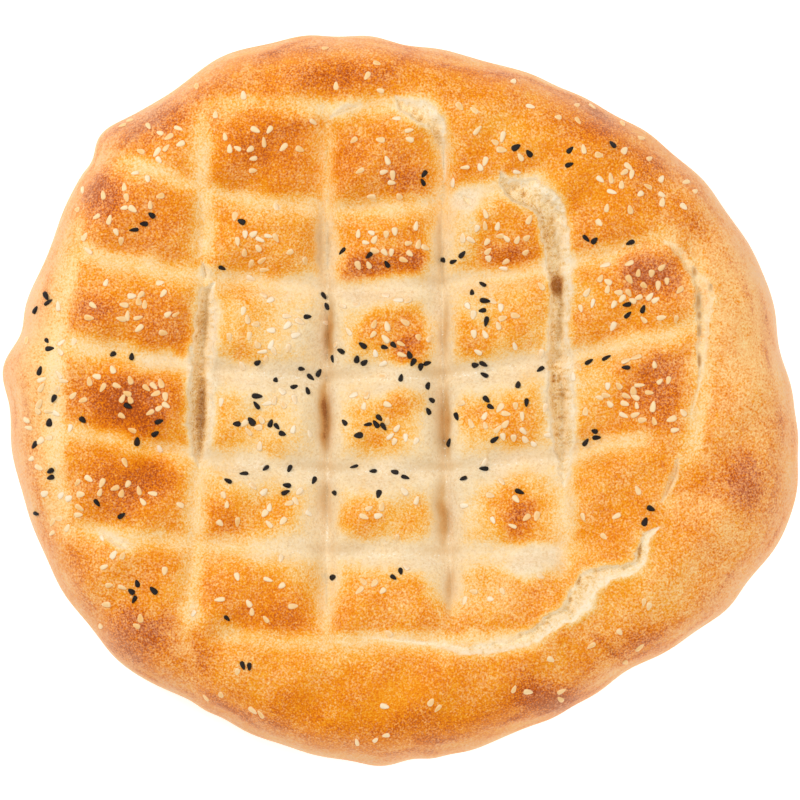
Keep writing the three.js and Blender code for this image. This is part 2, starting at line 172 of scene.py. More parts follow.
# %% Grooves
BOW_SPAN = 100
GROOVE_END = 9
DEEP_REACH = 45
SHALLOW_REACH = 115
SHALLOW_SHARE = 0.75
COLUMN_POWER = 1.25  # a column's foot is sharp, a row's is round
ROW_POWER = 1.8
GENTLE_SIDE = 1.3  # how much wider the side towards the upper left is than the groove's given width
STEEP_SIDE = 0.75
COLUMNS = [  # x, bow and its middle, first and last y, depth, width of a side
    (-116.5, 16, -5, -46, 66, 3.5, 6),
    (-66.2, -4, 40, -88, 98, 5.5, 5),
    (-24.7, 0, 0, -84, 98, 9, 5),
    (14.3, 3, 40, -72, 92, 8.5, 5),
    (54.3, 3, 40, -66, 66, 5, 5),
    (103, -38, 20, -36, 52, 3.5, 6),
]
ROWS = [  # y, bow and its middle, first and last x, depth, width of a side
    (98.8, 0, 0, -66, 12, 4, 5),
    (64.5, 27, -16, -106, 50, 4.8, 5.5),
    (38, 14.5, -15, -114, 92, 5.2, 5.5),
    (7, 14, -15, -116, 100, 5.6, 5.5),
    (-24.5, 13, -8, -115, 86, 5.6, 5.5),
    (-52.5, 7, 5, -110, 62, 4.8, 5.5),
    (-81.5, 4, 0, -64, 46, 4, 5),
]
WAVES = [  # height, length along x and y, shift
    (0.9, 41, 57, 1.3), (0.7, -63, 38, 0.4), (0.5, 24, -29, 2.6),
]
MIDDLE_CROSSING = (-25.5, 9.0)


def bowed(groove, along):
    return groove[0] + groove[1] * ((along - groove[2]) / BOW_SPAN) ** 2


def groove_reach(groove, along):
    """1 along a groove, running out to 0 at both ends."""
    first, last = groove[3:5]
    start = smoothstep(along, first - GROOVE_END, first + GROOVE_END)
    return start * (1 - smoothstep(along, last - GROOVE_END, last + GROOVE_END))


def beside_grooves(x, y):
    """For each groove, the distance across it, towards the upper left, and its reach at the points."""
    found = [(groove, bowed(groove, y) - x, groove_reach(groove, y)) for groove in COLUMNS]
    return found + [(groove, y - bowed(groove, x), groove_reach(groove, x)) for groove in ROWS]


def pressed_depth(x, y):
    valleys = []
    for k, (groove, across, along) in enumerate(beside_grooves(x, y)):
        depth, width = groove[5:]
        away = across / (width * np.where(across > 0, GENTLE_SIDE, STEEP_SIDE))
        power = COLUMN_POWER if k < len(COLUMNS) else ROW_POWER
        valleys.append(depth * along * np.exp(-(np.abs(away) ** power)))
    outward = smoothstep(np.hypot(x, y), DEEP_REACH, SHALLOW_REACH)
    return np.cbrt(np.sum(np.power(valleys, 3), axis=0)) * (1 - (1 - SHALLOW_SHARE) * outward)


def unevenness(x, y):
    return sum(
        height * np.sin(2 * math.pi * (x / along_x + y / along_y) + shift)
        for height, along_x, along_y, shift in WAVES
    )


print("groove depth in the middle", float(pressed_depth(*np.array(MIDDLE_CROSSING)).round(1)), "mm")

# %% [markdown]
# ## Splits
#
# Where the crust was thinnest it tore open in the oven. A split could be cut out with a boolean, but as a
# curve through a few points, with a gape that closes towards both ends, it also tells the lattice and the
# colours how near they are. The crumb inside hangs from one lip and slopes up to the other, so the deepest
# line lies to one side.

# %% Splits
SPLITS = [  # x, y and gape at points along it, then its depth and how golden its crumb has baked
    (
        [(-62.7, 39.4, 0.8), (-65, 35.6, 5), (-65.6, 29, 6.4), (-66.8, 15, 7.4), (-67.6, -2, 7.4)]
        + [(-68, -10, 6.4), (-68.1, -17.4, 4.2), (-67.6, -22.5, 0.8)],
        3,
        0,
    ),
    (
        [(-1.5, 102.7, 0.8), (1.1, 99.6, 3.7), (8.2, 96.3, 5.8), (12, 93.2, 5.6)]
        + [(13.4, 88.5, 3.6), (14.6, 83.3, 1.9), (15.2, 74, 0.6)],
        2,
        0.1,
    ),
    (
        [(34.2, 77, 0.8), (35.8, 74, 3.8), (38.8, 71.4, 7.3), (44.7, 69, 9.6), (50, 65, 10.4)]
        + [(52.2, 56.7, 9), (54, 40.2, 7.2), (53.8, 18, 7.4), (54.6, 2, 8.4)]
        + [(55.2, -14, 6.4), (55.8, -29, 1)],
        3.6,
        0,
    ),
    (
        [(89, 53.5, 0.8), (93.2, 51, 2.4), (99.7, 42, 3), (102.6, 36.5, 6), (102.5, 29, 4.8)]
        + [(102, 15, 2.8), (101, 5, 1.2), (98.2, -5, 0.6)],
        1,
        0.62,
    ),
    ([(93.9, -19.9, 0.8), (92.7, -25.1, 2.6), (90.7, -29.8, 2.2), (88.4, -34.3, 0.6)], 1.2, 0.6),
    (
        [(87.3, -43.2, 0.8), (83.1, -46.5, 2.8), (81.5, -52, 4), (79.4, -56.2, 4), (74.4, -57.6, 4.8)]
        + [(68.3, -59.1, 6.2), (63.8, -62.5, 7.6), (60.8, -67.5, 7.6), (57.4, -71.5, 7), (52, -74.4, 5.8)]
        + [(47, -78.2, 4.8), (37, -82.7, 3.6), (23, -84.7, 2.6), (13, -82.7, 1.4), (-9, -80.5, 0.6)],
        1.2,
        0.1,
    ),
    ([(-66.7, 46.2, 0.6), (-65.9, 43.7, 1.7), (-65.5, 41.1, 0.6)], 1, 0.3),
    ([(-23.6, 95, 0.6), (-18.9, 98, 1.8), (-14.4, 99.2, 0.6)], 0.8, 0.3),
    ([(-99.8, -45.1, 0.6), (-95.4, -48.2, 1.8), (-91.4, -50.2, 0.6)], 0.8, 0.3),
    ([(20.6, 69.5, 0.6), (22.8, 67.3, 2), (24.5, 65.4, 0.6)], 0.8, 0.4),
]
SPLIT_SAMPLES = 160
STEPS_BETWEEN = 30  # steps of a curve from one of its points to the next
STEEP_WALL = (-1, -0.65)  # shares of the half gape over which the crumb drops from one lip
GENTLE_WALL = (-0.2, 1)  # and over which it climbs to the other


def smooth_path(points, samples):
    """A curve through the points, evenly spaced, with its unit tangents and its length."""
    points = np.array(points, float)
    padded = np.vstack([2 * points[0] - points[1], points, 2 * points[-1] - points[-2]])
    dense = []
    for k in range(1, len(padded) - 2):
        before, start, end, after = padded[k - 1 : k + 3]
        for t in np.linspace(0, 1, STEPS_BETWEEN, endpoint=False):
            dense.append(
                start
                + 0.5 * t * (end - before)
                + t * t * (before - 2.5 * start + 2 * end - 0.5 * after)
                + t ** 3 * (1.5 * (start - end) + 0.5 * (after - before))
            )
    dense = np.vstack([dense, points[-1]])
    steps = np.linalg.norm(np.diff(dense[:, :2], axis=0), axis=1)
    travelled = np.concatenate([[0], np.cumsum(steps)])
    even = np.linspace(0, travelled[-1], samples)
    path = np.column_stack([np.interp(even, travelled, column) for column in dense.T])
    tangent = np.gradient(path[:, :2], axis=0)
    return path, tangent / np.linalg.norm(tangent, axis=1, keepdims=True), travelled[-1]


def beside_path(x, y, path, tangent):
    """Signed distance from a path, left of the way it runs being positive, and the nearest sample."""
    offset_x = x[:, None] - path[None, :, 0]
    offset_y = y[:, None] - path[None, :, 1]
    nearest = np.argmin(offset_x ** 2 + offset_y ** 2, axis=1)
    pick = np.arange(len(x))
    dx, dy = offset_x[pick, nearest], offset_y[pick, nearest]
    side = tangent[nearest, 0] * dy - tangent[nearest, 1] * dx
    return np.sign(side) * np.hypot(dx, dy), nearest


split_paths = [smooth_path(points, SPLIT_SAMPLES) for points, *_ in SPLITS]
print("split lengths", [round(float(length)) for _, _, length in split_paths], "mm")

# %% [markdown]
# ## A lattice with finer cells where it matters
#
# A square lattice bent into a disc has no pinched pole, and its lines run much like the grooves. The splits
# and creases need cells of about half a millimetre, the rest of the crust does not, so only the cells near
# them are divided again. That keeps the loaf well under the number of triangles that a piece may have.

# %% Lattice
CELLS = 236
SPLIT_CUTS = 2  # cuts through each cell edge near a split or crease
SPLIT_MARGIN = 1.6  # how far beyond a split's lips the finer cells reach
CREASES = [  # at the foot of a column: x, first and last y, width to the left and right, depth, how dark its painted shade is
    (-26.2, 36, 68, 1.5, 0.9, 0.5, 0.36),
    (-24.1, 7, 39, 1.6, 1.4, 0.9, 0.72),
    (-25.4, -24, 13, 1.9, 1.8, 1.1, 0.92),
    (-25, -46, -22, 2.4, 2, 0.5, 0.28),
    (14.4, 36, 68, 1.5, 1, 0.5, 0.38),
    (15, 8, 39, 1.6, 1.2, 0.6, 0.42),
    (16.1, -27, 10, 3.6, 1.1, 0.9, 0.62),
    (14.8, -57, -20, 3, 1.5, 0.9, 0.58),
    (17, -75, -53, 1.7, 1.2, 0.7, 0.42),
]
CREASE_TAPER = 0.45  # share of a crease's length over which each end runs out
CREASE_MARGIN = 2  # how far to both sides of a crease the finer cells reach


def disc_place(u, v):
    """Angle and share of a point of the square lattice, bent into a disc."""
    a = u * np.sqrt(1 - v * v / 2)
    b = v * np.sqrt(1 - u * u / 2)
    return np.arctan2(b, a), np.minimum(np.hypot(a, b), 1) * (1 + SKIRT_SHARE)


def wants_fine_cells(x, y):
    fine = np.zeros(len(x), bool)
    for path, tangent, _ in split_paths:
        away, nearest = beside_path(x, y, path, tangent)
        fine |= np.abs(away) < path[nearest, 2] / 2 + SPLIT_MARGIN
    for at, first, last, *_ in CREASES:
        fine |= (np.abs(x - at) < CREASE_MARGIN) & (y > first) & (y < last)
    return fine


lattice = bmesh.new()
bmesh.ops.create_grid(lattice, x_segments=CELLS, y_segments=CELLS, size=1)
middles = np.array([face.calc_center_median()[:2] for face in lattice.faces])
face_x, face_y, _, _, face_under = plan_of(*disc_place(*middles.T))
fine_faces = wants_fine_cells(face_x, face_y) & (face_under == 0)
lattice.faces.ensure_lookup_table()
fine_edges = {edge for k in np.nonzero(fine_faces)[0] for edge in lattice.faces[k].edges}
bmesh.ops.subdivide_edges(lattice, edges=list(fine_edges), cuts=SPLIT_CUTS, use_grid_fill=True)
lattice.verts.index_update()
flat = np.array([vertex.co[:2] for vertex in lattice.verts])
angle, share = disc_place(*flat.T)
plan_x, plan_y, reach, over, under = plan_of(angle, share)
print("lattice", len(lattice.verts), "points, with", int(fine_faces.sum()), "cells divided")

# %% [markdown]
# ## Noise that a baker would recognise
#
# Dough is never even. Blender's own fractal noise gives soft lumps of any size. It is sampled point by
# point here, and not left to the material, because the relief has to be real geometry that still shows from
# the side.

# %% Noise helper
SEED_SHIFT = np.array([17.3, -9.1, 5.7])  # how far the noise of one seed lies from the next


def lumps(x, y, size, seed, octaves=3, z=0):
    """Soft noise from about -1 to 1 with features of the given size."""
    places = np.column_stack([x, y, np.broadcast_to(z, len(x))]) / size + SEED_SHIFT * seed
    return np.array([noise.fractal(place, 1.0, 2.0, octaves) for place in places.tolist()])


test_line = np.arange(0.0, 200, 5)
sample = lumps(test_line, test_line * 0, size=16, seed=1)
print("lumps from", sample.min().round(2), "to", sample.max().round(2))

# %% [markdown]
# ## Relief of the crust
#
# The top is the hollow and the rim, less the grooves, plus slow and small lumps. At the foot of the deep
# columns the dough has folded into a narrow crease that wanders a little. The rim has a few wrinkles, and
# streaks run along its side. All of it is heights, added up, so each can be changed without the others.

# %% Relief of crust and grooves
SLOW_LUMP = 0.5
SMALL_LUMP = 0.14
CREASE_WANDER = 1.4
CREASE_NARROW = 0.6  # a crease's width at its ends, as a share of its width in the middle
CREASE_PATCHY = 0.35  # how much its shade varies
WRINKLES = [  # x and y at points along a wrinkle of the rim
    [(20, 114.8), (34, 111.7), (40, 109.7), (49.4, 106), (59.5, 101.2), (70.8, 95.3), (81, 87.4)],
    [(64, -78), (70, -83.5), (75, -88)],
]
WRINKLE_WIDTH = 0.9
WRINKLE_DEPTH = 1.4
WRINKLE_TAPER = 0.25  # share of a wrinkle's length over which each end runs out
STREAK_HEIGHT = 1.2  # wrinkles along the side of the rim
STREAK_PITCH = 800  # how quickly they follow each other down the side
STREAK_TURN = (0.4, 1.1)  # turn of the rim, in radians, over which they begin

crown = MIDDLE_HEIGHT + (CREST_HEIGHT - MIDDLE_HEIGHT) * smoothstep(reach, HOLLOW_SHARE, CREST_SHARE)
top = crown + unevenness(plan_x, plan_y) - pressed_depth(plan_x, plan_y)
top += SLOW_LUMP * lumps(plan_x, plan_y, size=16, seed=1)
top += SMALL_LUMP * lumps(plan_x, plan_y, size=4, seed=2)

painted_shade = np.zeros(len(top))  # painted shade: how dark the fold is, later also in the slits and over the row feet
wander = CREASE_WANDER * lumps(plan_y, plan_x * 0, size=14, seed=91, octaves=4)
for at, first, last, left_width, right_width, depth, dark in CREASES:
    runout = (last - first) * CREASE_TAPER
    ends = smoothstep(plan_y, first, first + runout) * (1 - smoothstep(plan_y, last - runout, last))
    aside = plan_x - at - wander
    wide = np.where(aside < 0, left_width, right_width) * (CREASE_NARROW + (1 - CREASE_NARROW) * ends)
    cut = ends * np.exp(-((aside / wide) ** 2))
    top -= depth * cut
    painted_shade = np.maximum(painted_shade, dark * cut)
painted_shade *= 1 + CREASE_PATCHY * lumps(plan_x, plan_y, size=5, seed=90)

wrinkle = np.zeros(len(top))
for points in WRINKLES:
    path, tangent, _ = smooth_path([(x, y, 0) for x, y in points], SPLIT_SAMPLES)
    away, nearest = beside_path(plan_x, plan_y, path, tangent)
    along = nearest / (SPLIT_SAMPLES - 1)
    ends = smoothstep(along, 0, WRINKLE_TAPER) * (1 - smoothstep(along, 1 - WRINKLE_TAPER, 1))
    wrinkle = np.maximum(wrinkle, ends * np.exp(-((away / WRINKLE_WIDTH) ** 2)))
top -= WRINKLE_DEPTH * wrinkle
streak = lumps(plan_x, plan_y, size=16, seed=80, octaves=2, z=STREAK_PITCH * share)
streak *= smoothstep(over, *STREAK_TURN)
top += STREAK_HEIGHT * streak
print("top from", top.min().round(1), "to", top.max().round(1), "mm")

# %% [markdown]
# ## Relief of the splits
#
# Each split is let into the top: a raised lip, a steep wall on one side and a slope of torn crumb up to the
# other, with strands across the tear. Real crumb is full of caves, but from above one height at each place is
# enough. The loop also notes what the material will ask for: where crumb shows, how golden it has baked, how
# deep it lies and so how much painted shade its crumb gets, and where the crust ends in a thin torn edge.

# %% Relief of the splits
LIP_HEIGHT = 0.6
LIP_WIDTH = 1.8
LIP_BLUR = 0.3  # half the width over which crust turns into crumb
TORN_RIM = 1.6  # width of the thin torn edge of the crust
TORN_EDGE = 1.0  # how far the lips wander from a smooth curve
GAPE_SPREAD = 0.2  # share by which the gape varies along a split
OPEN_GAIN = 1.15  # a split counts as fully open a little before its widest place
FULL_WANDER = 2  # half gape from which the lips wander fully
FULL_ROUGHNESS = 3  # half gape from which the crumb is fully rough
STRAND_SIZE = 0.9
STRAND_LENGTH = 4  # how many times longer a strand is than wide
STRAND_DEPTH = 0.5
CELL_SIZE = 2.2
CELL_DEPTH = 0.9
SPLIT_REACH = 12  # how far beyond its gape a split is worked out
BESIDE_REACH = 7  # how far the crust beside a split is changed by it
DEEPEST_SPLIT = 3.6
BOWL_SHADE = 0.26
CELL_SHADE = 0.4
STRAND_SHADE = 0.4
SHALLOW_SHADE = 0.4  # how dark a very shallow split is, as a share of the deepest
STEEP_SHADE = 0.1  # painted shade on the crumb below the steep lip
SHADE_START = (-1, -0.8)  # shares of the half gape over which that shade comes
SHADE_END = (-0.7, -0.1)  # and over which it goes

gash = np.zeros(len(top))  # 1 inside a split
beside_split = np.zeros(len(top))  # 1 along a split, fading over the crust beside it
gold = np.zeros(len(top))  # how golden the crumb has baked
crumb_shade = np.zeros(len(top))  # painted shade on the crumb: 1 at the bottom of the deepest crumb
torn = np.zeros(len(top))  # 1 on the thin torn edge of the crust


def keep_most(values, near, new):
    values[near] = np.maximum(values[near], new)


for k, ((_, depth, golden), (path, tangent, length)) in enumerate(zip(SPLITS, split_paths)):
    widest = path[:, 2].max()
    near = np.nonzero(np.hypot(plan_x - path[:, 0].mean(), plan_y - path[:, 1].mean()) < length)[0]
    away, nearest = beside_path(plan_x[near], plan_y[near], path, tangent)
    close = np.abs(away) < widest + SPLIT_REACH
    near, away, nearest = near[close], away[close], nearest[close]
    x, y = plan_x[near], plan_y[near]
    along = nearest / (SPLIT_SAMPLES - 1) * length
    half = path[nearest, 2] / 2 * (1 + GAPE_SPREAD * lumps(along, along * 0, size=9, seed=30 + k))
    ragged = TORN_EDGE * lumps(x, y, size=3.5, seed=20 + k, octaves=4)
    away = away + ragged * np.minimum(1, half / FULL_WANDER)
    past_lip = np.abs(away) - half
    place = away / half
    within = 1 - smoothstep(past_lip, -LIP_BLUR, LIP_BLUR)
    bowl = smoothstep(place, *STEEP_WALL) * (1 - smoothstep(place, *GENTLE_WALL))
    open_share = np.minimum(1, path[nearest, 2] / widest * OPEN_GAIN)
    strand = 1 - np.abs(lumps(along, away / STRAND_LENGTH, STRAND_SIZE, seed=50 + k, octaves=2))
    cell = np.maximum(lumps(x, y, CELL_SIZE, seed=70 + k, octaves=2), 0)
    rough = STRAND_DEPTH * (1 - strand) + CELL_DEPTH * cell * bowl
    rough *= np.minimum(1, half / FULL_ROUGHNESS)
    curl = np.exp(-((past_lip / LIP_WIDTH) ** 2)) * open_share
    top[near] += LIP_HEIGHT * curl * (1 - within) - within * (depth * open_share * bowl + rough)
    shade = BOWL_SHADE * bowl ** 2 * open_share + CELL_SHADE * cell * bowl * open_share ** 2
    below_lip = smoothstep(place, *SHADE_START) * (1 - smoothstep(place, *SHADE_END))
    shade += STRAND_SHADE * (1 - strand) + STEEP_SHADE * below_lip * open_share
    shade *= SHALLOW_SHADE + (1 - SHALLOW_SHADE) * depth / DEEPEST_SPLIT
    keep_most(gash, near, within * (1 - golden))
    keep_most(gold, near, within * golden)
    keep_most(crumb_shade, near, within * shade)
    keep_most(torn, near, np.exp(-((past_lip / TORN_RIM) ** 2)) * open_share * (1 - golden))
    keep_most(beside_split, near, np.exp(-((past_lip / BESIDE_REACH).clip(0) ** 2)) * open_share)
print("crumb shows on", int((gash > 0.5).sum()), "points")

# %% [markdown]
# ## Bubbles and slits
#
# Bubbles of the dough are cut open in the splits. In pale crumb they are soft hollows with a painted shade,
# and where the crumb has baked golden they are narrow slits with a brown painted shade. Each is a ragged
# oval, listed one by one, because a random crumb would never put the one large hole where a real loaf has it.

# %% Bubbles and slits
HOLES = [  # bubbles torn open in the crumb: x, y, half width, half height, depth, how dark their painted shade is
    (53, 38.9, 2.4, 4.2, 3, 1),
    (51, 57, 1.8, 6, 0.6, 0.5),
    (-67.6, -3.5, 2.3, 17, 0.6, 0.75),
    (-66.5, 26, 1.5, 8, 0.3, 0.4),
    (57, -13, 1.6, 4, 0.5, 0.45),
    (54, 23, 1.6, 4, 0.5, 0.45),
    (12.5, 88, 1.2, 5, 0.4, 0.5),
    (99.5, 43.6, 0.8, 2.2, 0.4, 0.9),
    (104.9, 38, 0.6, 1.5, 0.3, 0.7),
    (100.6, 33.3, 0.9, 2.5, 0.4, 0.8),
    (101, 28.6, 0.7, 1.4, 0.3, 0.8),
    (100.8, 23.5, 0.8, 2, 0.4, 0.7),
    (101, 13.1, 0.8, 2.3, 0.4, 0.9),
    (80.7, -50, 0.9, 3.4, 0.6, 0.9),
    (60.2, -60.9, 1, 2, 0.6, 0.75),
    (57.6, -67.3, 0.9, 0.9, 0.4, 0.7),
    (50, -72, 1.2, 1, 0.4, 0.5),
    (66, -56.9, 0.9, 0.7, 0.3, 0.5),
    (46.4, -77, 0.5, 1.6, 0.3, 0.45),
    (44.6, -79.6, 0.5, 1.3, 0.3, 0.45),
    (40.5, -79.4, 0.7, 0.9, 0.3, 0.4),
    (34, -83.6, 0.7, 0.8, 0.3, 0.4),
    (24, -84.6, 0.9, 0.7, 0.3, 0.4),
]
HOLE_RAGGED = 0.4
SLIT_SHADE = 0.8
SLIT_GOLD = (0.2, 0.5)  # how golden the crumb is where holes turn into slits

ragged = 1 + HOLE_RAGGED * lumps(plan_x, plan_y, size=2, seed=93)
for x, y, wide, high, depth, dark in HOLES:
    from_middle = ((plan_x - x) / wide) ** 2 + ((plan_y - y) / high) ** 2
    hole = (gash + gold) * np.exp(-((from_middle * ragged) ** 2))
    top -= depth * hole
    # painted shade in the hollow, and a brown painted shade where the crumb is golden
    crumb_shade = np.maximum(crumb_shade, dark * hole)
    painted_shade = np.maximum(painted_shade, SLIT_SHADE * dark * hole * smoothstep(gold, *SLIT_GOLD))
height = WAIST_HEIGHT * (1 - np.sin(under)) + (top - WAIST_HEIGHT) * np.cos(over)
print(len(HOLES), "holes, crust up to", height.max().round(1), "mm high")

# %% [markdown]
# ## How brown the crust is
#
# Heat from above browns what stands highest, so the rim and the pillows are golden and the grooves stay pale.
# The middle of the loaf is wet longest and stays almost white. No loaf bakes evenly, so listed spots are
# darker, paler or more floury. They are soft ovals and not a painted picture, so each is easy to move and to
# change.

# %% Spots on the crust
SPOTS = [  # x, y, half width, half height, strength
    (-101, 69, 7, 8, 0.26),
    (-88, 62, 15, 12, 0.06),
    (-45, 88, 15, 13, 0.2),
    (-6, 80, 12, 11, 0.1),
    (1, 74, 7, 6, 0.12),
    (-103, 31, 8, 7, 0.2),
    (-80, 27, 11, 9, 0.14),
    (-91, 0, 18, 10, 0.32),
    (-90, -27, 17, 10, 0.25),
    (-13, 46, 9, 6, 0.46),
    (4, 46, 9, 6, 0.46),
    (37, 48, 9, 5, 0.24),
    (46, 60, 6, 9, 0.04),
    (84.5, 42.5, 10, 10, 0.36),
    (87, 4, 11, 14, 0.26),
    (-58, 20, 6, 9, 0.08),
    (-52, 17, 5, 7, 0.17),
    (-1, 21, 14.5, 10, 0.36),
    (4, 16, 7, 5, 0.3),
    (2, 28, 6, 5, 0.06),
    (-11, 21, 5, 5, 0.12),
    (24, 20, 6.5, 8, 0.3),
    (37, 22, 8, 9, 0.24),
    (-58, -8, 6, 11, 0.2),
    (-46, -9, 9, 8, 0.1),
    (-42, -16, 5, 4, 0.16),
    (-6, -7, 13, 10, 0.24),
    (1, -2, 7, 5, 0.18),
    (-9, -12, 5, 4, 0.12),
    (25, -7, 7, 8, 0.26),
    (39, -7.5, 9, 9, 0.34),
    (-57, -40, 9, 8, 0.24),
    (-42, -38, 8, 9, 0.24),
    (-12, -39.5, 8, 7, 0.32),
    (3, -38, 8, 8, 0.2),
    (38, -36, 9, 10, 0.33),
    (40, -40, 7, 6, 0.2),
    (68, -42, 9, 9, 0.03),
    (-43, -73, 13, 9, 0.16),
    (-5, -62, 14, 6, 0.12),
    (-88, -78, 11, 9, 0.26),
    (-70, -84, 12, 8, 0.2),
    (115, -28, 10, 10, 0.3),
    (82, -81, 9, 6, 0.16),
    (46, -101, 9, 6, 0.2),
    (2, -110, 16, 5, 0.1),
    (-36, -105, 9, 6, 0.06),
    (-22, 109, 20, 5, 0.18),
    (64, 95, 16, 7, 0.12),
    (90, 82, 12, 8, 0.05),
    (-90, 98, 22, 8, 0.22),
    (62, -104, 18, 7, 0.18),
]
PALE_SPOTS = [  # x, y, half width, half height, how much paler
    (-123, 5, 9, 48, 0.1),
    (120, 28, 14, 36, 0.06),
    (66, 5, 7, 6, 0.2),
    (62, 34, 7, 5, 0.2),
    (32, 92, 22, 10, 0.12),
    (80, -62, 22, 16, 0.1),
    (46, -54, 10, 6, 0.4),
    (21, 58, 6, 13, 0.3),
    (24, 69, 10, 6, 0.2),
    (30, -66, 12, 8, 0.12),
    (-24, 54, 4.5, 14, 0.16),
    (11, 51, 4, 13, 0.2),
    (12, -62, 6, 9, 0.25),
    (24, -17, 8, 4, 0.06),
    (30, 57, 9, 5, 0.08),
    (-80, 14, 7, 3.5, 0.18),
    (-59, 25, 4, 13, 0.16),
    (-47, 53, 14, 9, 0.05),
    (-38, -95, 20, 10, 0.06),
]
FLOURY_SPOTS = [  # x, y, half width, half height, how much more flour lies there, or less
    (-123, 5, 12, 50, 0.45),
    (118, 28, 18, 40, 0.5),
    (110, -50, 16, 24, 0.2),
    (30, -66, 14, 9, 0.25),
    (0, -106, 55, 12, -0.36),
    (-45, 88, 15, 13, -0.25),
    (-43, -73, 15, 10, -0.25),
    (-91, -12, 18, 26, -0.3),
    (65, 84, 30, 18, -0.25),
    (0, 112, 60, 10, -0.2),
]
WARP = 3.5  # how far soft noise moves the edges of the spots
SPOT_POWER = 1.6  # above 1 a spot is even inside and ends more sharply

warp_x = plan_x + WARP * lumps(plan_x, plan_y, size=13, seed=60)
warp_y = plan_y + WARP * lumps(plan_x, plan_y, size=13, seed=61)


def spot_cover(x, y, wide, high, power=1):
    """1 in the middle of an oval spot, fading to 0 round it."""
    away = ((warp_x - x) / wide) ** 2 + ((warp_y - y) / high) ** 2
    return np.exp(-(away ** power))


print(len(SPOTS), "brown,", len(PALE_SPOTS), "pale and", len(FLOURY_SPOTS), "floury spots")

# %% Pale grooves
PALE_MIDDLE = (-6, -8)
PALE_REACH = (72, 62)
PALE_FADE = (0.62, 1.12)  # shares of that reach over which the pale middle ends
PALE_WIDTHS = (4, 5.5)  # half width of the pale band along a groove, at the rim and in the middle
CRISP_SIDE = (0.9, 3.4)  # share of that width, and power of the falloff, on the side that ends sharply
SOFT_SIDE = (1.1, 2)
FOOT_LINE = 1.2

from_x = (warp_x - PALE_MIDDLE[0]) / PALE_REACH[0]
from_y = (warp_y - PALE_MIDDLE[1]) / PALE_REACH[1]
pale = 1 - smoothstep(np.hypot(from_x, from_y), *PALE_FADE)
band = PALE_WIDTHS[0] + (PALE_WIDTHS[1] - PALE_WIDTHS[0]) * pale
bands = []
for k, (_, across, along) in enumerate(beside_grooves((plan_x + warp_x) / 2, (plan_y + warp_y) / 2)):
    crisp = across < 0 if k < len(COLUMNS) else across > 0
    wide = band * np.where(crisp, CRISP_SIDE[0], SOFT_SIDE[0])
    bands.append(along * np.exp(-((np.abs(across) / wide) ** np.where(crisp, CRISP_SIDE[1], SOFT_SIDE[1]))))
near_column = np.max(bands[: len(COLUMNS)], axis=0) * (1 - (1 - pale) * beside_split)
near_groove = np.maximum(near_column, np.max(bands[len(COLUMNS) :], axis=0))
grooves_here = beside_grooves(plan_x, plan_y)
feet = [along * np.exp(-((across / FOOT_LINE) ** 2)) for _, across, along in grooves_here]
foot_line = np.max(feet, axis=0)
print("pale grooves on", int((near_groove > 0.5).sum()), "points")

# %% Browning
BAKED_OUTER = 0.6
BAKED_MIDDLE = 0.22
FOOT_OUTER = 0.3
FOOT_MIDDLE = 0.02
GOLDEN_CRUMB = 0.26
GOLDEN_SHADE = 0.4  # painted shade: how much browner golden crumb is painted where it lies deep
UNEVEN_BAKE = 0.08
TORN_PALER = 0.3
# painted shade along the wrinkles of the rim
WRINKLE_SHADE = 0.16
STREAK_BROWNER = 0.3
RIM_TONE = (0.06, 0.2, 0.8)  # how much browner, and over which turn of the rim in radians
SIDE_TONE = (-0.24, 0.9, 1.5)
SKIRT_TONE = (-0.1, 0.2, 1.2)

pillow_tone = BAKED_OUTER + (BAKED_MIDDLE - BAKED_OUTER) * pale
foot_tone = FOOT_OUTER + (FOOT_MIDDLE - FOOT_OUTER) * pale
baked = pillow_tone + (foot_tone - pillow_tone) * near_groove * np.cos(over)
for *oval, strength in SPOTS:
    baked += strength * spot_cover(*oval, SPOT_POWER)
for *oval, strength in PALE_SPOTS:
    baked -= strength * spot_cover(*oval, SPOT_POWER)
baked += (GOLDEN_CRUMB + GOLDEN_SHADE * crumb_shade - baked) * gold
baked += UNEVEN_BAKE * lumps(plan_x, plan_y, size=9, seed=62)
baked += WRINKLE_SHADE * wrinkle + STREAK_BROWNER * streak - TORN_PALER * torn
for (tone, first, last), turn in ((RIM_TONE, over), (SIDE_TONE, over), (SKIRT_TONE, under)):
    baked += tone * smoothstep(turn, first, last)
print("browning from", baked.min().round(2), "to", baked.max().round(2))

# %% Flour, dust and the shade under pillows
DUSTY_TURN = (0.55, 1.3)  # turn of the rim, in radians, over which its side gets dusty
STREAK_CLEAN = 0.6  # how much less dust lies on a streak
FLOUR_BASE = 0.4
FLOUR_RIM = 0.1
FLOUR_RIM_REACH = (0.74, 0.9)
FLOUR_GROOVE = 0.2
ROW_SHADE = 0.26  # the tan shade over a row's foot, near the columns
ROW_SHADE_UP = 1.4
ROW_SHADE_HIGH = 2
ROW_SHADE_REACH = 10

dusty = smoothstep(over, *DUSTY_TURN) * (1 - STREAK_CLEAN * np.maximum(streak, 0))
floury = FLOUR_BASE + FLOUR_RIM * smoothstep(reach, *FLOUR_RIM_REACH)
floury += FLOUR_GROOVE * near_groove * np.cos(over)
for *oval, strength in FLOURY_SPOTS:
    floury += strength * spot_cover(*oval)
for _, across, along in grooves_here[len(COLUMNS) :]:
    under_pillow = pale * along * np.exp(-(((across - ROW_SHADE_UP) / ROW_SHADE_HIGH) ** 2))
    for column in COLUMNS:
        beside = np.exp(-(((plan_x - column[0]) / ROW_SHADE_REACH) ** 2))
        painted_shade = np.maximum(painted_shade, ROW_SHADE * under_pillow * beside)
print("flour from", floury.min().round(2), "to", floury.max().round(2))

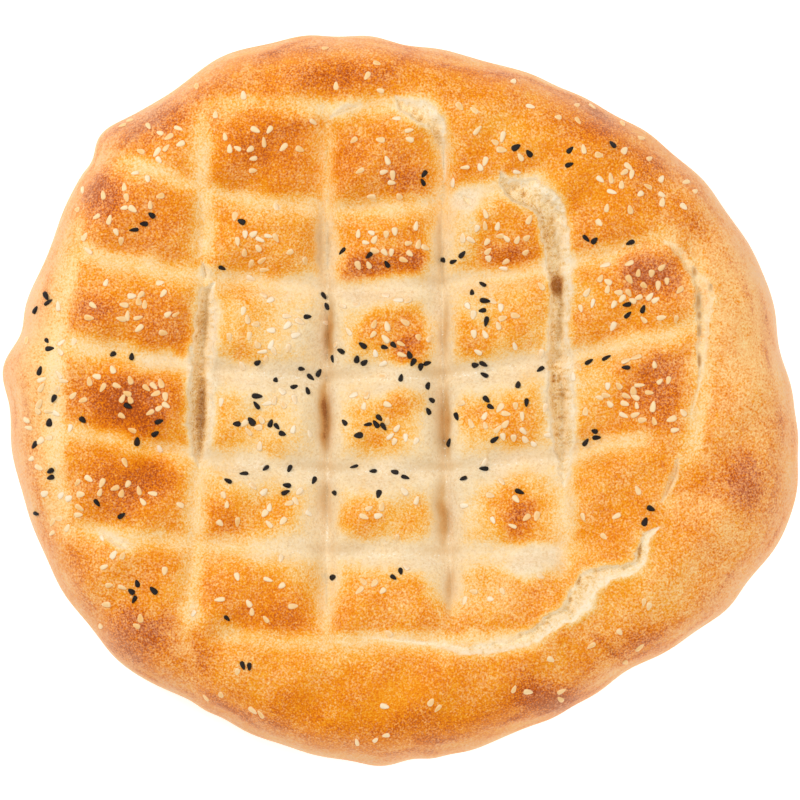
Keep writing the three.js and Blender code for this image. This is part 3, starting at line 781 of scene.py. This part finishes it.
# %% [markdown]
# ## The crust as one mesh
#
# The lattice gets its heights, a flat face closes the underside, and the maps made above ride along as
# named attributes, which the material reads. Attributes need no unwrapping and no pictures, and the lattice
# is fine enough to carry them.

# %% Crust mesh
def add_maps(mesh, maps):
    """Values from 0 to 1 for each point of a mesh, as named attributes."""
    for name, values in maps.items():
        layer = mesh.attributes.new(name, "FLOAT", "POINT")
        layer.data.foreach_set("value", np.clip(values, 0, 1).astype(np.float32))


for vertex, place in zip(lattice.verts, np.column_stack([plan_x, plan_y, height]) * MM):
    vertex.co = place
border = [edge for edge in lattice.edges if edge.is_boundary]
underside = bmesh.ops.contextual_create(lattice, geom=border)["faces"]
bmesh.ops.triangulate(lattice, faces=underside)
bmesh.ops.recalc_face_normals(lattice, faces=lattice.faces)
crust_mesh = bpy.data.meshes.new("crust")
lattice.to_mesh(crust_mesh)
crust_surface = BVHTree.FromBMesh(lattice)
lattice.free()
crust_maps = {"baked": baked, "gash": gash, "crumb_shade": crumb_shade, "painted_shade": painted_shade, "dusty": dusty, "floury": floury}
crust_maps["foot"] = foot_line * pale * (1 - painted_shade)
add_maps(crust_mesh, crust_maps)
crust_mesh.polygons.foreach_set("use_smooth", np.ones(len(crust_mesh.polygons), bool))
crust = bpy.data.objects.new("crust", crust_mesh)
put_in_scene(crust)
crust_mesh.calc_loop_triangles()
print("crust", len(crust_mesh.loop_triangles), "triangles")

# %% [markdown]
# ## Tools for the materials
#
# Colours are easiest to judge as screen values from 0 to 255, and a shader wants them linear. A small helper
# turns one into the other, and others make a node with its values in one line. The grain that crust, crumb
# and seeds share is one node group with a size, a roughness and a seed.

# %% Material helpers
def paint(red, green, blue):
    """A screen colour as linear light, by the usual curve of screens."""
    screen = np.array([red, green, blue]) / 255
    linear = np.where(screen <= 0.04045, screen / 12.92, ((screen + 0.055) / 1.055) ** 2.4)
    return (*linear, 1.0)


def feed(tree, socket, value):
    """Links a socket to another, or gives it a plain value."""
    if isinstance(value, bpy.types.NodeSocket):
        tree.links.new(value, socket)
    else:
        socket.default_value = value


def add_node(tree, kind, inputs=None, **settings):
    node = tree.nodes.new(kind)
    for key, value in settings.items():
        setattr(node, key, value)
    for key, value in (inputs or {}).items():
        feed(tree, node.inputs[key], value)
    return node


def calc(tree, operation, first, second=0.0, third=0.0):
    node = add_node(tree, "ShaderNodeMath", {0: first, 1: second, 2: third}, operation=operation)
    return node.outputs[0]


def plus(tree, total, part, share):
    """A total plus a share of another value."""
    return calc(tree, "MULTIPLY_ADD", part, share, total)


def blend(tree, share, first, second):
    """Two colours mixed by a share."""
    node = add_node(tree, "ShaderNodeMix", data_type="RGBA")
    for name, kind, value in (("Factor", "VALUE", share), ("A", "RGBA", first), ("B", "RGBA", second)):
        feed(tree, next(s for s in node.inputs if s.name == name and s.type == kind), value)
    return next(s for s in node.outputs if s.type == "RGBA")


def colour_ramp(tree, factor, stops):
    node = add_node(tree, "ShaderNodeValToRGB", {0: factor})
    ramp = node.color_ramp
    while len(ramp.elements) < len(stops):
        ramp.elements.new(0.5)
    for element, (place, colour) in zip(ramp.elements, stops):
        element.position = place
        element.color = colour
    return node.outputs["Color"]


def stretch(tree, value, low, high, to_low=0.0, to_high=1.0):
    """Turns the range from low to high into the one from to_low to to_high, and holds it there."""
    node = add_node(
        tree,
        "ShaderNodeMapRange",
        {"Value": value, "From Min": low, "From Max": high, "To Min": to_low, "To Max": to_high},
    )
    return node.outputs["Result"]


def attribute(tree, name):
    return add_node(tree, "ShaderNodeAttribute", attribute_name=name).outputs["Fac"]


def new_material(name):
    material = bpy.data.materials.new(name)
    material.use_nodes = True
    return material, material.node_tree, material.node_tree.nodes["Principled BSDF"]


print("cream on the screen is", np.round(paint(250, 230, 198)[:3], 2), "in linear light")

# %% Grain group
def grain_group():
    """Noise with its size in millimetres, from about -1 to 1."""
    group = bpy.data.node_groups.new("grain", "ShaderNodeTree")
    for name in ("Size mm", "Roughness", "Seed"):
        group.interface.new_socket(name, in_out="INPUT", socket_type="NodeSocketFloat")
    group.interface.new_socket("Grain", in_out="OUTPUT", socket_type="NodeSocketFloat")
    given = group.nodes.new("NodeGroupInput").outputs
    place = add_node(group, "ShaderNodeTexCoord").outputs["Object"]
    per_metre = calc(group, "DIVIDE", 1 / MM, given["Size mm"])
    cloud = add_node(
        group,
        "ShaderNodeTexNoise",
        {"Vector": place, "W": given["Seed"], "Scale": per_metre, "Roughness": given["Roughness"]},
        noise_dimensions="4D",
    )
    centred = calc(group, "MULTIPLY_ADD", cloud.outputs["Fac"], 4.0, -2.0)
    result = group.nodes.new("NodeGroupOutput")
    group.links.new(centred, result.inputs["Grain"])
    return group


GRAIN = grain_group()


def grain(tree, size, seed, roughness=0.5):
    inputs = {"Size mm": size, "Roughness": roughness, "Seed": seed}
    return add_node(tree, "ShaderNodeGroup", inputs, node_tree=GRAIN).outputs["Grain"]


print("grain group", [item.name for item in GRAIN.interface.items_tree])

# %% [markdown]
# ## Baked skin
#
# The crust runs from cream through gold and amber to brown as it bakes. Its skin is mottled at several
# sizes, the finest well under a millimetre, and a thin veil of flour and small blisters makes it paler in
# specks. The side of the rim is dusty, and the pale dough of the middle has a grain of tan. A picture laid
# over the mesh would be quicker, but grain worked out in the shader stays sharp from near.

# %% Baked skin
CRUST_STOPS = [
    (0.0, paint(241, 219, 179)),
    (0.13, paint(248, 221, 174)),
    (0.26, paint(250, 204, 128)),
    (0.4, paint(248, 174, 54)),
    (0.55, paint(243, 147, 4)),
    (0.7, paint(231, 124, 0)),
    (0.85, paint(204, 98, 10)),
    (1.0, paint(166, 72, 14)),
]
SPECK_STOPS = [  # the same, under a veil of flour and small blisters
    (0.0, paint(250, 230, 198)),
    (0.26, paint(253, 223, 172)),
    (0.4, paint(254, 215, 149)),
    (0.55, paint(253, 201, 131)),
    (0.7, paint(249, 181, 106)),
    (0.85, paint(232, 154, 100)),
    (1.0, paint(206, 128, 88)),
]
DUSTY_SIDE = paint(236, 184, 142)
DOUGH_SHADE = paint(224, 184, 130)
COARSE_MOTTLE = 0.05
MID_MOTTLE = 0.06
FINE_MOTTLE = (0.08, 0.36)  # on pale dough and on brown crust
FINE_LIMITS = (-1.5, 0.5)  # the fine grain is held within these
CLOUDY_FLOUR = 0.3
FLOUR_GAIN = 1.4
FLOUR_SHOWS = (-0.34, 0.72)  # the veil is bare below the first value and covers above the second
SIDE_COVER = (0.5, 0.9)  # how well dust covers the side, between the specks and on them
DOUGH_COVER = 0.6

crust_material, tree, skin = new_material("baked_crust")
baked_map = attribute(tree, "baked")
mid = grain(tree, size=1.5, seed=2.0, roughness=0.6)
fine = grain(tree, size=0.6, seed=3.0, roughness=0.6)
mottled = plus(tree, baked_map, grain(tree, size=4.0, seed=1.0), COARSE_MOTTLE)
mottled = plus(tree, mottled, mid, MID_MOTTLE)
uneven = stretch(tree, baked_map, 0.1, 0.85, *FINE_MOTTLE)
mottled = plus(tree, mottled, stretch(tree, fine, *FINE_LIMITS, *FINE_LIMITS), uneven)
veil = grain(tree, size=0.7, seed=4.0, roughness=0.55)
veil = plus(tree, veil, grain(tree, size=8.0, seed=11.0), CLOUDY_FLOUR)
flour = plus(tree, -FLOUR_GAIN / 2, attribute(tree, "floury"), FLOUR_GAIN)
speck = stretch(tree, calc(tree, "ADD", veil, flour), *FLOUR_SHOWS)
bare_skin = colour_ramp(tree, mottled, CRUST_STOPS)
skin_colour = blend(tree, speck, bare_skin, colour_ramp(tree, mottled, SPECK_STOPS))
side = calc(tree, "MULTIPLY", attribute(tree, "dusty"), stretch(tree, speck, 0.0, 1.0, *SIDE_COVER))
skin_colour = blend(tree, side, skin_colour, DUSTY_SIDE)
dough_grain = stretch(tree, grain(tree, size=0.9, seed=13.0, roughness=0.7), -0.1, 0.7, 0.0, DOUGH_COVER)
pale_dough = stretch(tree, baked_map, 0.1, 0.4, 1.0, 0.0)
skin_colour = blend(tree, calc(tree, "MULTIPLY", dough_grain, pale_dough), skin_colour, DOUGH_SHADE)
print("baked skin", len(tree.nodes), "nodes")

# %% [markdown]
# ## Crumb
#
# Inside a split the crumb is matt and cream, with a painted shade that darkens it the deeper it lies and in
# its pores, and pale fibres of torn dough. Fibres could be hair, but at this size a thin line where a noise
# crosses zero looks the same.

# %% Crumb
CRUMB_STOPS = [
    (0.0, paint(251, 238, 212)),
    (0.14, paint(252, 230, 189)),
    (0.3, paint(244, 215, 162)),
    (0.6, paint(226, 180, 110)),
    (1.0, paint(180, 114, 48)),
]
FIBRE = paint(252, 234, 202)
# painted shade in the pores of the crumb
PORE_SHADE = 0.3
CRUMB_GRAIN = 0.26
FIBRE_WIDTH = 0.2
FIBRE_COVER = 0.75

crumb_shade_map = attribute(tree, "crumb_shade")
gash_map = attribute(tree, "gash")
pores = stretch(tree, grain(tree, size=1.4, seed=6.0, roughness=0.6), 0.1, 0.9, 0.0, PORE_SHADE)
# painted shade from the depth and the pores, with a random grain
crumb_shade_and_grain = calc(tree, "ADD", crumb_shade_map, pores)
crumb_shade_and_grain = plus(tree, crumb_shade_and_grain, grain(tree, size=0.7, seed=7.0, roughness=0.65), CRUMB_GRAIN)
fibre = calc(tree, "ABSOLUTE", grain(tree, size=1.6, seed=12.0, roughness=0.4))
fibre = stretch(tree, fibre, 0.0, FIBRE_WIDTH, FIBRE_COVER, 0.0)
fibre = calc(tree, "MULTIPLY", fibre, stretch(tree, crumb_shade_map, 0.5, 0.9, 1.0, 0.2))
crumb_colour = blend(tree, fibre, colour_ramp(tree, crumb_shade_and_grain, CRUMB_STOPS), FIBRE)
bread_colour = blend(tree, gash_map, skin_colour, crumb_colour)
print("with crumb", len(tree.nodes), "nodes")

# %% [markdown]
# ## Creases, glints and finish
#
# The folds at the feet of the columns, the slits and the row feet get a painted shade from tan to brown, and
# along the feet of the pale grooves lie white flecks of flour with a painted glint. Crust is hardly glossy
# and crumb not at all, and fine pimples, too small for the mesh, are a bump.

# %% Crust material
CREASE_SHADE_STOPS = [
    (0.3, paint(228, 194, 146)),
    (0.45, paint(220, 177, 120)),
    (0.7, paint(210, 158, 96)),
    (1.0, paint(166, 106, 56)),
]
GLINT = paint(255, 246, 228)
CREASE_GRAIN = 0.22
CREASE_COVERS = 0.3  # shade from which a crease hides the colour under it
FOOT_GLINT = 0.7
GLINT_SHOWS = (0.9, 1.2)
GLINT_COVER = 0.8
SKIN_ROUGHNESS = 0.5
CRUMB_ROUGHER = 0.35
ROUGHNESS_GRAIN = 0.06
FINE_PIMPLES = 0.5
PIMPLE_HEIGHT = 0.12

# painted shade in the creases, slits and row feet, from tan to brown
shaded = calc(tree, "MULTIPLY", attribute(tree, "painted_shade"), plus(tree, 1.0, fine, CREASE_GRAIN))
shade_cover = stretch(tree, shaded, 0.0, CREASE_COVERS)
bread_colour = blend(tree, shade_cover, bread_colour, colour_ramp(tree, shaded, CREASE_SHADE_STOPS))
# white flecks along the groove feet: flour grains with a painted glint
sparkle = plus(tree, grain(tree, size=0.8, seed=5.0, roughness=0.6), attribute(tree, "foot"), FOOT_GLINT)
bread_colour = blend(tree, stretch(tree, sparkle, *GLINT_SHOWS, 0.0, GLINT_COVER), bread_colour, GLINT)
roughness = plus(tree, plus(tree, SKIN_ROUGHNESS, gash_map, CRUMB_ROUGHER), mid, ROUGHNESS_GRAIN)
pimples = plus(tree, mid, fine, FINE_PIMPLES)
bump_inputs = {"Height": pimples, "Strength": 0.6, "Distance": PIMPLE_HEIGHT * MM}
bump = add_node(tree, "ShaderNodeBump", bump_inputs)
feed(tree, skin.inputs["Base Color"], bread_colour)
feed(tree, skin.inputs["Roughness"], roughness)
feed(tree, skin.inputs["Normal"], bump.outputs["Normal"])
skin.inputs["Specular IOR Level"].default_value = 0.12
crust_mesh.materials.append(crust_material)
print("crust material", len(tree.nodes), "nodes")

# %% [markdown]
# ## Where the seeds fall
#
# The baker strews two kinds of seed. Black nigella falls in small handfuls, and pale sesame lies thicker on
# some pillows than on others, with a few more along the rim. Particles could strew them, but a simple rule
# with its own seeded draws gives the same places on every run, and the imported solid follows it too: so many
# seeds to a handful, gathered towards its middle.

# %% Handfuls
NIGELLA_HANDFULS = [  # x, y, half width, half height, how many
    (56, 84, 40, 14, 5),
    (68, 57, 16, 20, 3),
    (27, 48, 24, 5, 3),
    (7, 75, 5, 26, 2),
    (-9, 47, 28, 6, 3),
    (-53, 58, 10, 26, 2),
    (-87, 60, 20, 6, 3),
    (-121, 28, 6, 28, 5),
    (-119, -8, 8, 30, 6),
    (-125, -37, 3, 5, 2),
    (-95, 15, 16, 6, 4),
    (-91, -12, 20, 22, 7),
    (-96, -37, 10, 10, 2),
    (-88, -65, 9, 9, 4),
    (-55, -90, 12, 26, 3),
    (-4, -60, 30, 5, 3),
    (-27, 31, 8, 10, 3),
    (-12, 18, 14, 10, 5),
    (0, 14, 18, 14, 6),
    (-40, 7, 32, 10, 10),
    (-45, -10, 22, 18, 9),
    (-43, -28, 26, 8, 9),
    (-10, -9, 20, 9, 6),
    (10, -2, 3, 14, 4),
    (-9, -26, 18, 10, 8),
    (30, 31, 20, 14, 6),
    (27, 15, 5, 10, 3),
    (31, -1, 26, 18, 8),
    (27, -27, 16, 8, 3),
    (80, 31, 24, 6, 3),
    (69, 14, 14, 12, 3),
    (66, -13, 12, 16, 3),
    (85, -41, 9, 12, 2),
]
SESAME_ON_PILLOWS = [  # how many on each pillow, row by row from the top
    [14, 14, 14, 12, 20],
    [16, 20, 26, 22, 22],
    [19, 24, 26, 20, 36],
    [30, 26, 16, 30, 38],
    [22, 14, 10, 10, 6],
    [8, 12, 6, 5, 3],
]
SESAME_ON_RIM = [  # degrees from and to, how many
    (162, 206, 34),
    (206, 250, 9),
    (250, 320, 16),
    (40, 110, 14),
    (110, 160, 10),
]
PILLOW_FILL = 0.56  # half width of a pillow's handful, as a share of the pillow's width


def pillow_handfuls(counts_by_row):
    """Each pillow's seeds as a handful: its middle, half width and half height, and how many."""
    handfuls = []
    for row, counts in enumerate(counts_by_row):
        for column, count in enumerate(counts):
            left, right = COLUMNS[column][0], COLUMNS[column + 1][0]
            x = (left + right) / 2
            y = (bowed(ROWS[row], x) + bowed(ROWS[row + 1], x)) / 2
            high = (ROWS[row][0] - ROWS[row + 1][0]) * PILLOW_FILL
            handfuls.append((x, y, (right - left) * PILLOW_FILL, high, count))
    return handfuls


sesame_handfuls = pillow_handfuls(SESAME_ON_PILLOWS)
print(len(NIGELLA_HANDFULS), "handfuls of nigella and", len(sesame_handfuls), "of sesame")

# %% Seed places
RIM_SEED_SHARES = (0.84, 0.97)
SEED_SPACING = 2.2
NIGELLA_DRAWS = 11
SESAME_DRAWS = 29


def drawer(seed):
    """Even draws from 0 to 1, the same on every run."""
    state = seed
    while True:
        state = (state * 1664525 + 1013904223) % 2 ** 32
        yield state / 2 ** 32


def seed_places(handfuls, on_rim, random_seed, taken):
    """x, y and turn of every seed of one kind. A seed that would fall on one already there is left out."""
    draw = drawer(random_seed)
    places = []

    def bell():
        """From -1 to 1, most often near 0."""
        return (next(draw) + next(draw) + next(draw)) / 1.5 - 1

    def put(x, y):
        turn = next(draw) * 2 * math.pi
        if all(math.hypot(x - other[0], y - other[1]) >= SEED_SPACING for other in taken):
            places.append((x, y, turn))
            taken.append((x, y))

    for x, y, wide, high, count in handfuls:
        for _ in range(count):
            put(x + wide * bell(), y + high * bell())
    low, high = RIM_SEED_SHARES
    for first, last, count in on_rim:
        for _ in range(count):
            at = math.radians(first + (last - first) * next(draw))
            radius = float(edge_radius(np.array(at))) * (low + (high - low) * next(draw))
            put(radius * math.cos(at), radius * math.sin(at))
    return places


taken_places = []
nigella_places = seed_places(NIGELLA_HANDFULS, [], NIGELLA_DRAWS, taken_places)
sesame_places = seed_places(sesame_handfuls, SESAME_ON_RIM, SESAME_DRAWS, taken_places)
print(len(nigella_places), "nigella seeds and", len(sesame_places), "sesame seeds")

# %% [markdown]
# ## Seeds as meshes
#
# One seed is a ring of sections along its length, an egg with one pointed end. Linked copies would be
# lighter, but as one mesh for each kind the seeds can carry their own values: each is turned, leaned to the
# crust under it and pressed in a little, and the crust's browning under it rides along as an attribute,
# because a seed on a dark spot is toasted too.

# %% Form of a seed
SESAME_FORM = {"size": (3.25, 1.85, 0.8), "taper": 0.36, "sections": 8, "sides": 10, "flatness": 0.6}
NIGELLA_FORM = {"size": (3.1, 1.75, 1.4), "taper": 0.35, "sections": 6, "sides": 6, "flatness": 1}
SEED_BLUNTNESS = 0.85  # below 1 the ends are blunter than an ellipse


def seed_form(size, taper, sections, sides, flatness):
    """Points of one seed lying along x, its faces, and how near each point is to the seed's edge."""
    points, faces, edge = [(-size[0] / 2, 0, 0)], [], [1.0]
    for section in range(1, sections):
        turn = math.pi * section / sections
        along = -math.cos(turn)
        thick = math.sin(turn) ** SEED_BLUNTNESS * (1 - taper * along)
        for side in range(sides):
            aside = 2 * math.pi * side / sides
            lift = math.copysign(abs(math.sin(aside)) ** flatness, math.sin(aside))
            across = thick * math.cos(aside)
            up = thick ** flatness * lift
            points.append((along * size[0] / 2, across * size[1] / 2, up * size[2] / 2))
            edge.append(max(abs(along), abs(across)) ** 3)
    points.append((size[0] / 2, 0, 0))
    edge.append(1.0)
    last = len(points) - 1
    for side in range(sides):
        after = (side + 1) % sides
        faces.append((0, 1 + after, 1 + side))
        faces.append((last, last - sides + side, last - sides + after))
        for section in range(sections - 2):
            low, high = 1 + section * sides, 1 + (section + 1) * sides
            faces.append((low + side, low + after, high + after, high + side))
    return np.array(points), faces, np.array(edge)


print("sesame seed", len(seed_form(**SESAME_FORM)[0]), "points")

# %% Seed meshes
RAY_START = 0.1
DOWN = Vector((0, 0, -1))
SIZE_SPREAD = 0.1
SIZE_LIMITS = (0.75, 1.3)
STEEPEST = 0.3  # upward part of the crust's normal below which no seed holds
OPEN_CRUMB = 0.1  # how much of a split may be under a seed
DEEPER_SINK = 0.3  # share of its thickness by which a seed can be pressed in further


def strewn(name, places, form_sizes, rise, random_seed, smooth):
    """All the seeds of a kind as one piece. Each rises by a share of its thickness from the crust."""
    form, faces, edge = seed_form(**form_sizes)
    thickness = form_sizes["size"][2]
    rng = np.random.default_rng(random_seed)
    points, polygons, tones, toasts = [], [], [], []
    for x, y, turn in places:
        hit, normal, face, _ = crust_surface.ray_cast(Vector((x * MM, y * MM, RAY_START)), DOWN)
        growth = rng.normal(1, SIZE_SPREAD, 3).clip(*SIZE_LIMITS)
        sink = rng.random()
        tone = rng.random()
        if hit is None or normal.z < STEEPEST:
            continue
        under_seed = list(crust_mesh.polygons[face].vertices)
        if gash[under_seed].max() > OPEN_CRUMB:
            continue
        lean = np.array((-DOWN).rotation_difference(normal).to_matrix())
        cos, sin = math.cos(turn), math.sin(turn)
        spin = np.array([[cos, -sin, 0], [sin, cos, 0], [0, 0, 1]])
        middle = np.array(hit) / MM + np.array(normal) * thickness * (rise - DEEPER_SINK * sink ** 3)
        start = len(points) * len(form)
        points.append((form * growth) @ (lean @ spin).T + middle)
        polygons += [[start + corner for corner in corners] for corners in faces]
        tones.append(np.full(len(form), tone))
        toasts.append(np.full(len(form), baked[under_seed].mean()))
    mesh = bpy.data.meshes.new(name)
    mesh.from_pydata((np.vstack(points) * MM).tolist(), [], polygons)
    seed_maps = {"tone": tones, "toasted": toasts, "edge": [edge] * len(points)}
    add_maps(mesh, {key: np.concatenate(values) for key, values in seed_maps.items()})
    mesh.polygons.foreach_set("use_smooth", np.full(len(mesh.polygons), smooth))
    mesh.calc_loop_triangles()
    piece = bpy.data.objects.new(name, mesh)
    put_in_scene(piece)
    print(name, len(points), "seeds,", len(mesh.loop_triangles), "triangles")
    return piece


sesame = strewn("sesame", sesame_places, SESAME_FORM, rise=0.1, random_seed=5, smooth=True)
nigella = strewn("nigella", nigella_places, NIGELLA_FORM, rise=0.2, random_seed=6, smooth=False)

# %% [markdown]
# ## Seed finishes
#
# A sesame hull is cream and darker at its edge, partly its own tone and partly painted shade where it meets
# the crust, and turns golden in its middle as it toasts, each a little differently. Nigella is black and
# angular with a pitted skin. Both could have one plain colour, but the spread of tones is what makes strewn
# seeds look real.

# %% Seed materials
SESAME_STOPS = [(0.0, paint(250, 232, 200)), (0.35, paint(251, 220, 168)), (0.7, paint(246, 200, 134))]
SESAME_HEART = paint(240, 178, 88)
SESAME_EDGE_AND_SHADE = paint(232, 172, 100)
SESAME_PALENESS = -0.3
TOAST_TINT = 0.8
TONE_TINT = 0.36
GRAIN_TINT = 0.1
HEART_COVER = 0.7
EDGE_COVER = 0.6
NIGELLA_STOPS = [(0.0, paint(15, 11, 10)), (1.0, paint(30, 23, 20))]
NIGELLA_GRAIN = 0.3
PIT_DEPTH = 0.08

sesame_material, tree, hull = new_material("sesame_hull")
tone_map, edge_map = attribute(tree, "tone"), attribute(tree, "edge")
tint = plus(tree, SESAME_PALENESS, attribute(tree, "toasted"), TOAST_TINT)
tint = plus(tree, tint, tone_map, TONE_TINT)
tint = plus(tree, tint, grain(tree, size=1.2, seed=8.0), GRAIN_TINT)
heart = stretch(tree, edge_map, 0.0, 0.5, 1.0, 0.0)
heart = calc(tree, "MULTIPLY", heart, stretch(tree, tone_map, 0.3, 1.0, 0.0, HEART_COVER))
hull_colour = blend(tree, heart, colour_ramp(tree, tint, SESAME_STOPS), SESAME_HEART)
# darker edge of the hull: partly its own tone, partly painted shade where it meets the crust
edge_and_shade = stretch(tree, edge_map, 0.6, 1.0, 0.0, EDGE_COVER)
feed(tree, hull.inputs["Base Color"], blend(tree, edge_and_shade, hull_colour, SESAME_EDGE_AND_SHADE))
hull.inputs["Roughness"].default_value = 0.42
hull.inputs["Specular IOR Level"].default_value = 0.4
sesame.data.materials.append(sesame_material)

nigella_material, tree, hull = new_material("nigella_hull")
shade = plus(tree, attribute(tree, "tone"), grain(tree, size=0.5, seed=9.0), NIGELLA_GRAIN)
pit_inputs = {"Height": grain(tree, size=0.35, seed=10.0), "Strength": 0.7, "Distance": PIT_DEPTH * MM}
pits = add_node(tree, "ShaderNodeBump", pit_inputs)
feed(tree, hull.inputs["Base Color"], colour_ramp(tree, shade, NIGELLA_STOPS))
feed(tree, hull.inputs["Normal"], pits.outputs["Normal"])
hull.inputs["Roughness"].default_value = 0.5
hull.inputs["Specular IOR Level"].default_value = 0.25
nigella.data.materials.append(nigella_material)
print("seed materials", sesame_material.name, nigella_material.name)

# %% [markdown]
# ## Floor and light
#
# The bread lies on a plain white floor that glows a little, so that it stays white round the loaf. A large
# soft lamp at the upper left gives the grooves their shade, and a wider one from the other side fills the
# rest, as in a food photographer's studio.

# %% Stage
FLOOR_SIZE = 3.0
FLOOR_GLOW = 0.4
WHITE = (1, 1, 1, 1)
SKY_STRENGTH = 0.58

half_floor = FLOOR_SIZE / 2
corners = [(x * half_floor, y * half_floor, 0) for x, y in ((-1, -1), (1, -1), (1, 1), (-1, 1))]
floor_mesh = bpy.data.meshes.new("floor")
floor_mesh.from_pydata(corners, [], [(0, 1, 2, 3)])
floor = bpy.data.objects.new("floor", floor_mesh)
floor_material, _, floor_skin = new_material("pale_floor")
floor_skin.inputs["Base Color"].default_value = WHITE
floor_skin.inputs["Roughness"].default_value = 0.9
floor_skin.inputs["Emission Color"].default_value = WHITE
floor_skin.inputs["Emission Strength"].default_value = FLOOR_GLOW
floor_mesh.materials.append(floor_material)
put_in_scene(floor)


def soft_lamp(name, place, size, watts):
    lamp_data = bpy.data.lights.new(name, "AREA")
    lamp_data.shape = "DISK"
    lamp_data.size = size
    lamp_data.energy = watts
    lamp = bpy.data.objects.new(name, lamp_data)
    lamp.location = place
    lamp.rotation_euler = (-Vector(place)).to_track_quat("-Z", "Y").to_euler()
    put_in_scene(lamp)


soft_lamp("key_lamp", (-0.9, 0.75, 1.0), size=0.6, watts=9)
soft_lamp("fill_lamp", (0.8, -0.4, 1.7), size=1.6, watts=11)
world = bpy.data.worlds.new("studio")
world.use_nodes = True
sky = world.node_tree.nodes["Background"]
sky.inputs["Color"].default_value = WHITE
sky.inputs["Strength"].default_value = SKY_STRENGTH
bpy.context.scene.world = world
bpy.context.scene.view_settings.view_transform = "Standard"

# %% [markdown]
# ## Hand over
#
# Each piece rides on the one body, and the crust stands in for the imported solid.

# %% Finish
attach(crust, "root")
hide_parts("bread")
for piece in (sesame, nigella):
    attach(piece, "root")
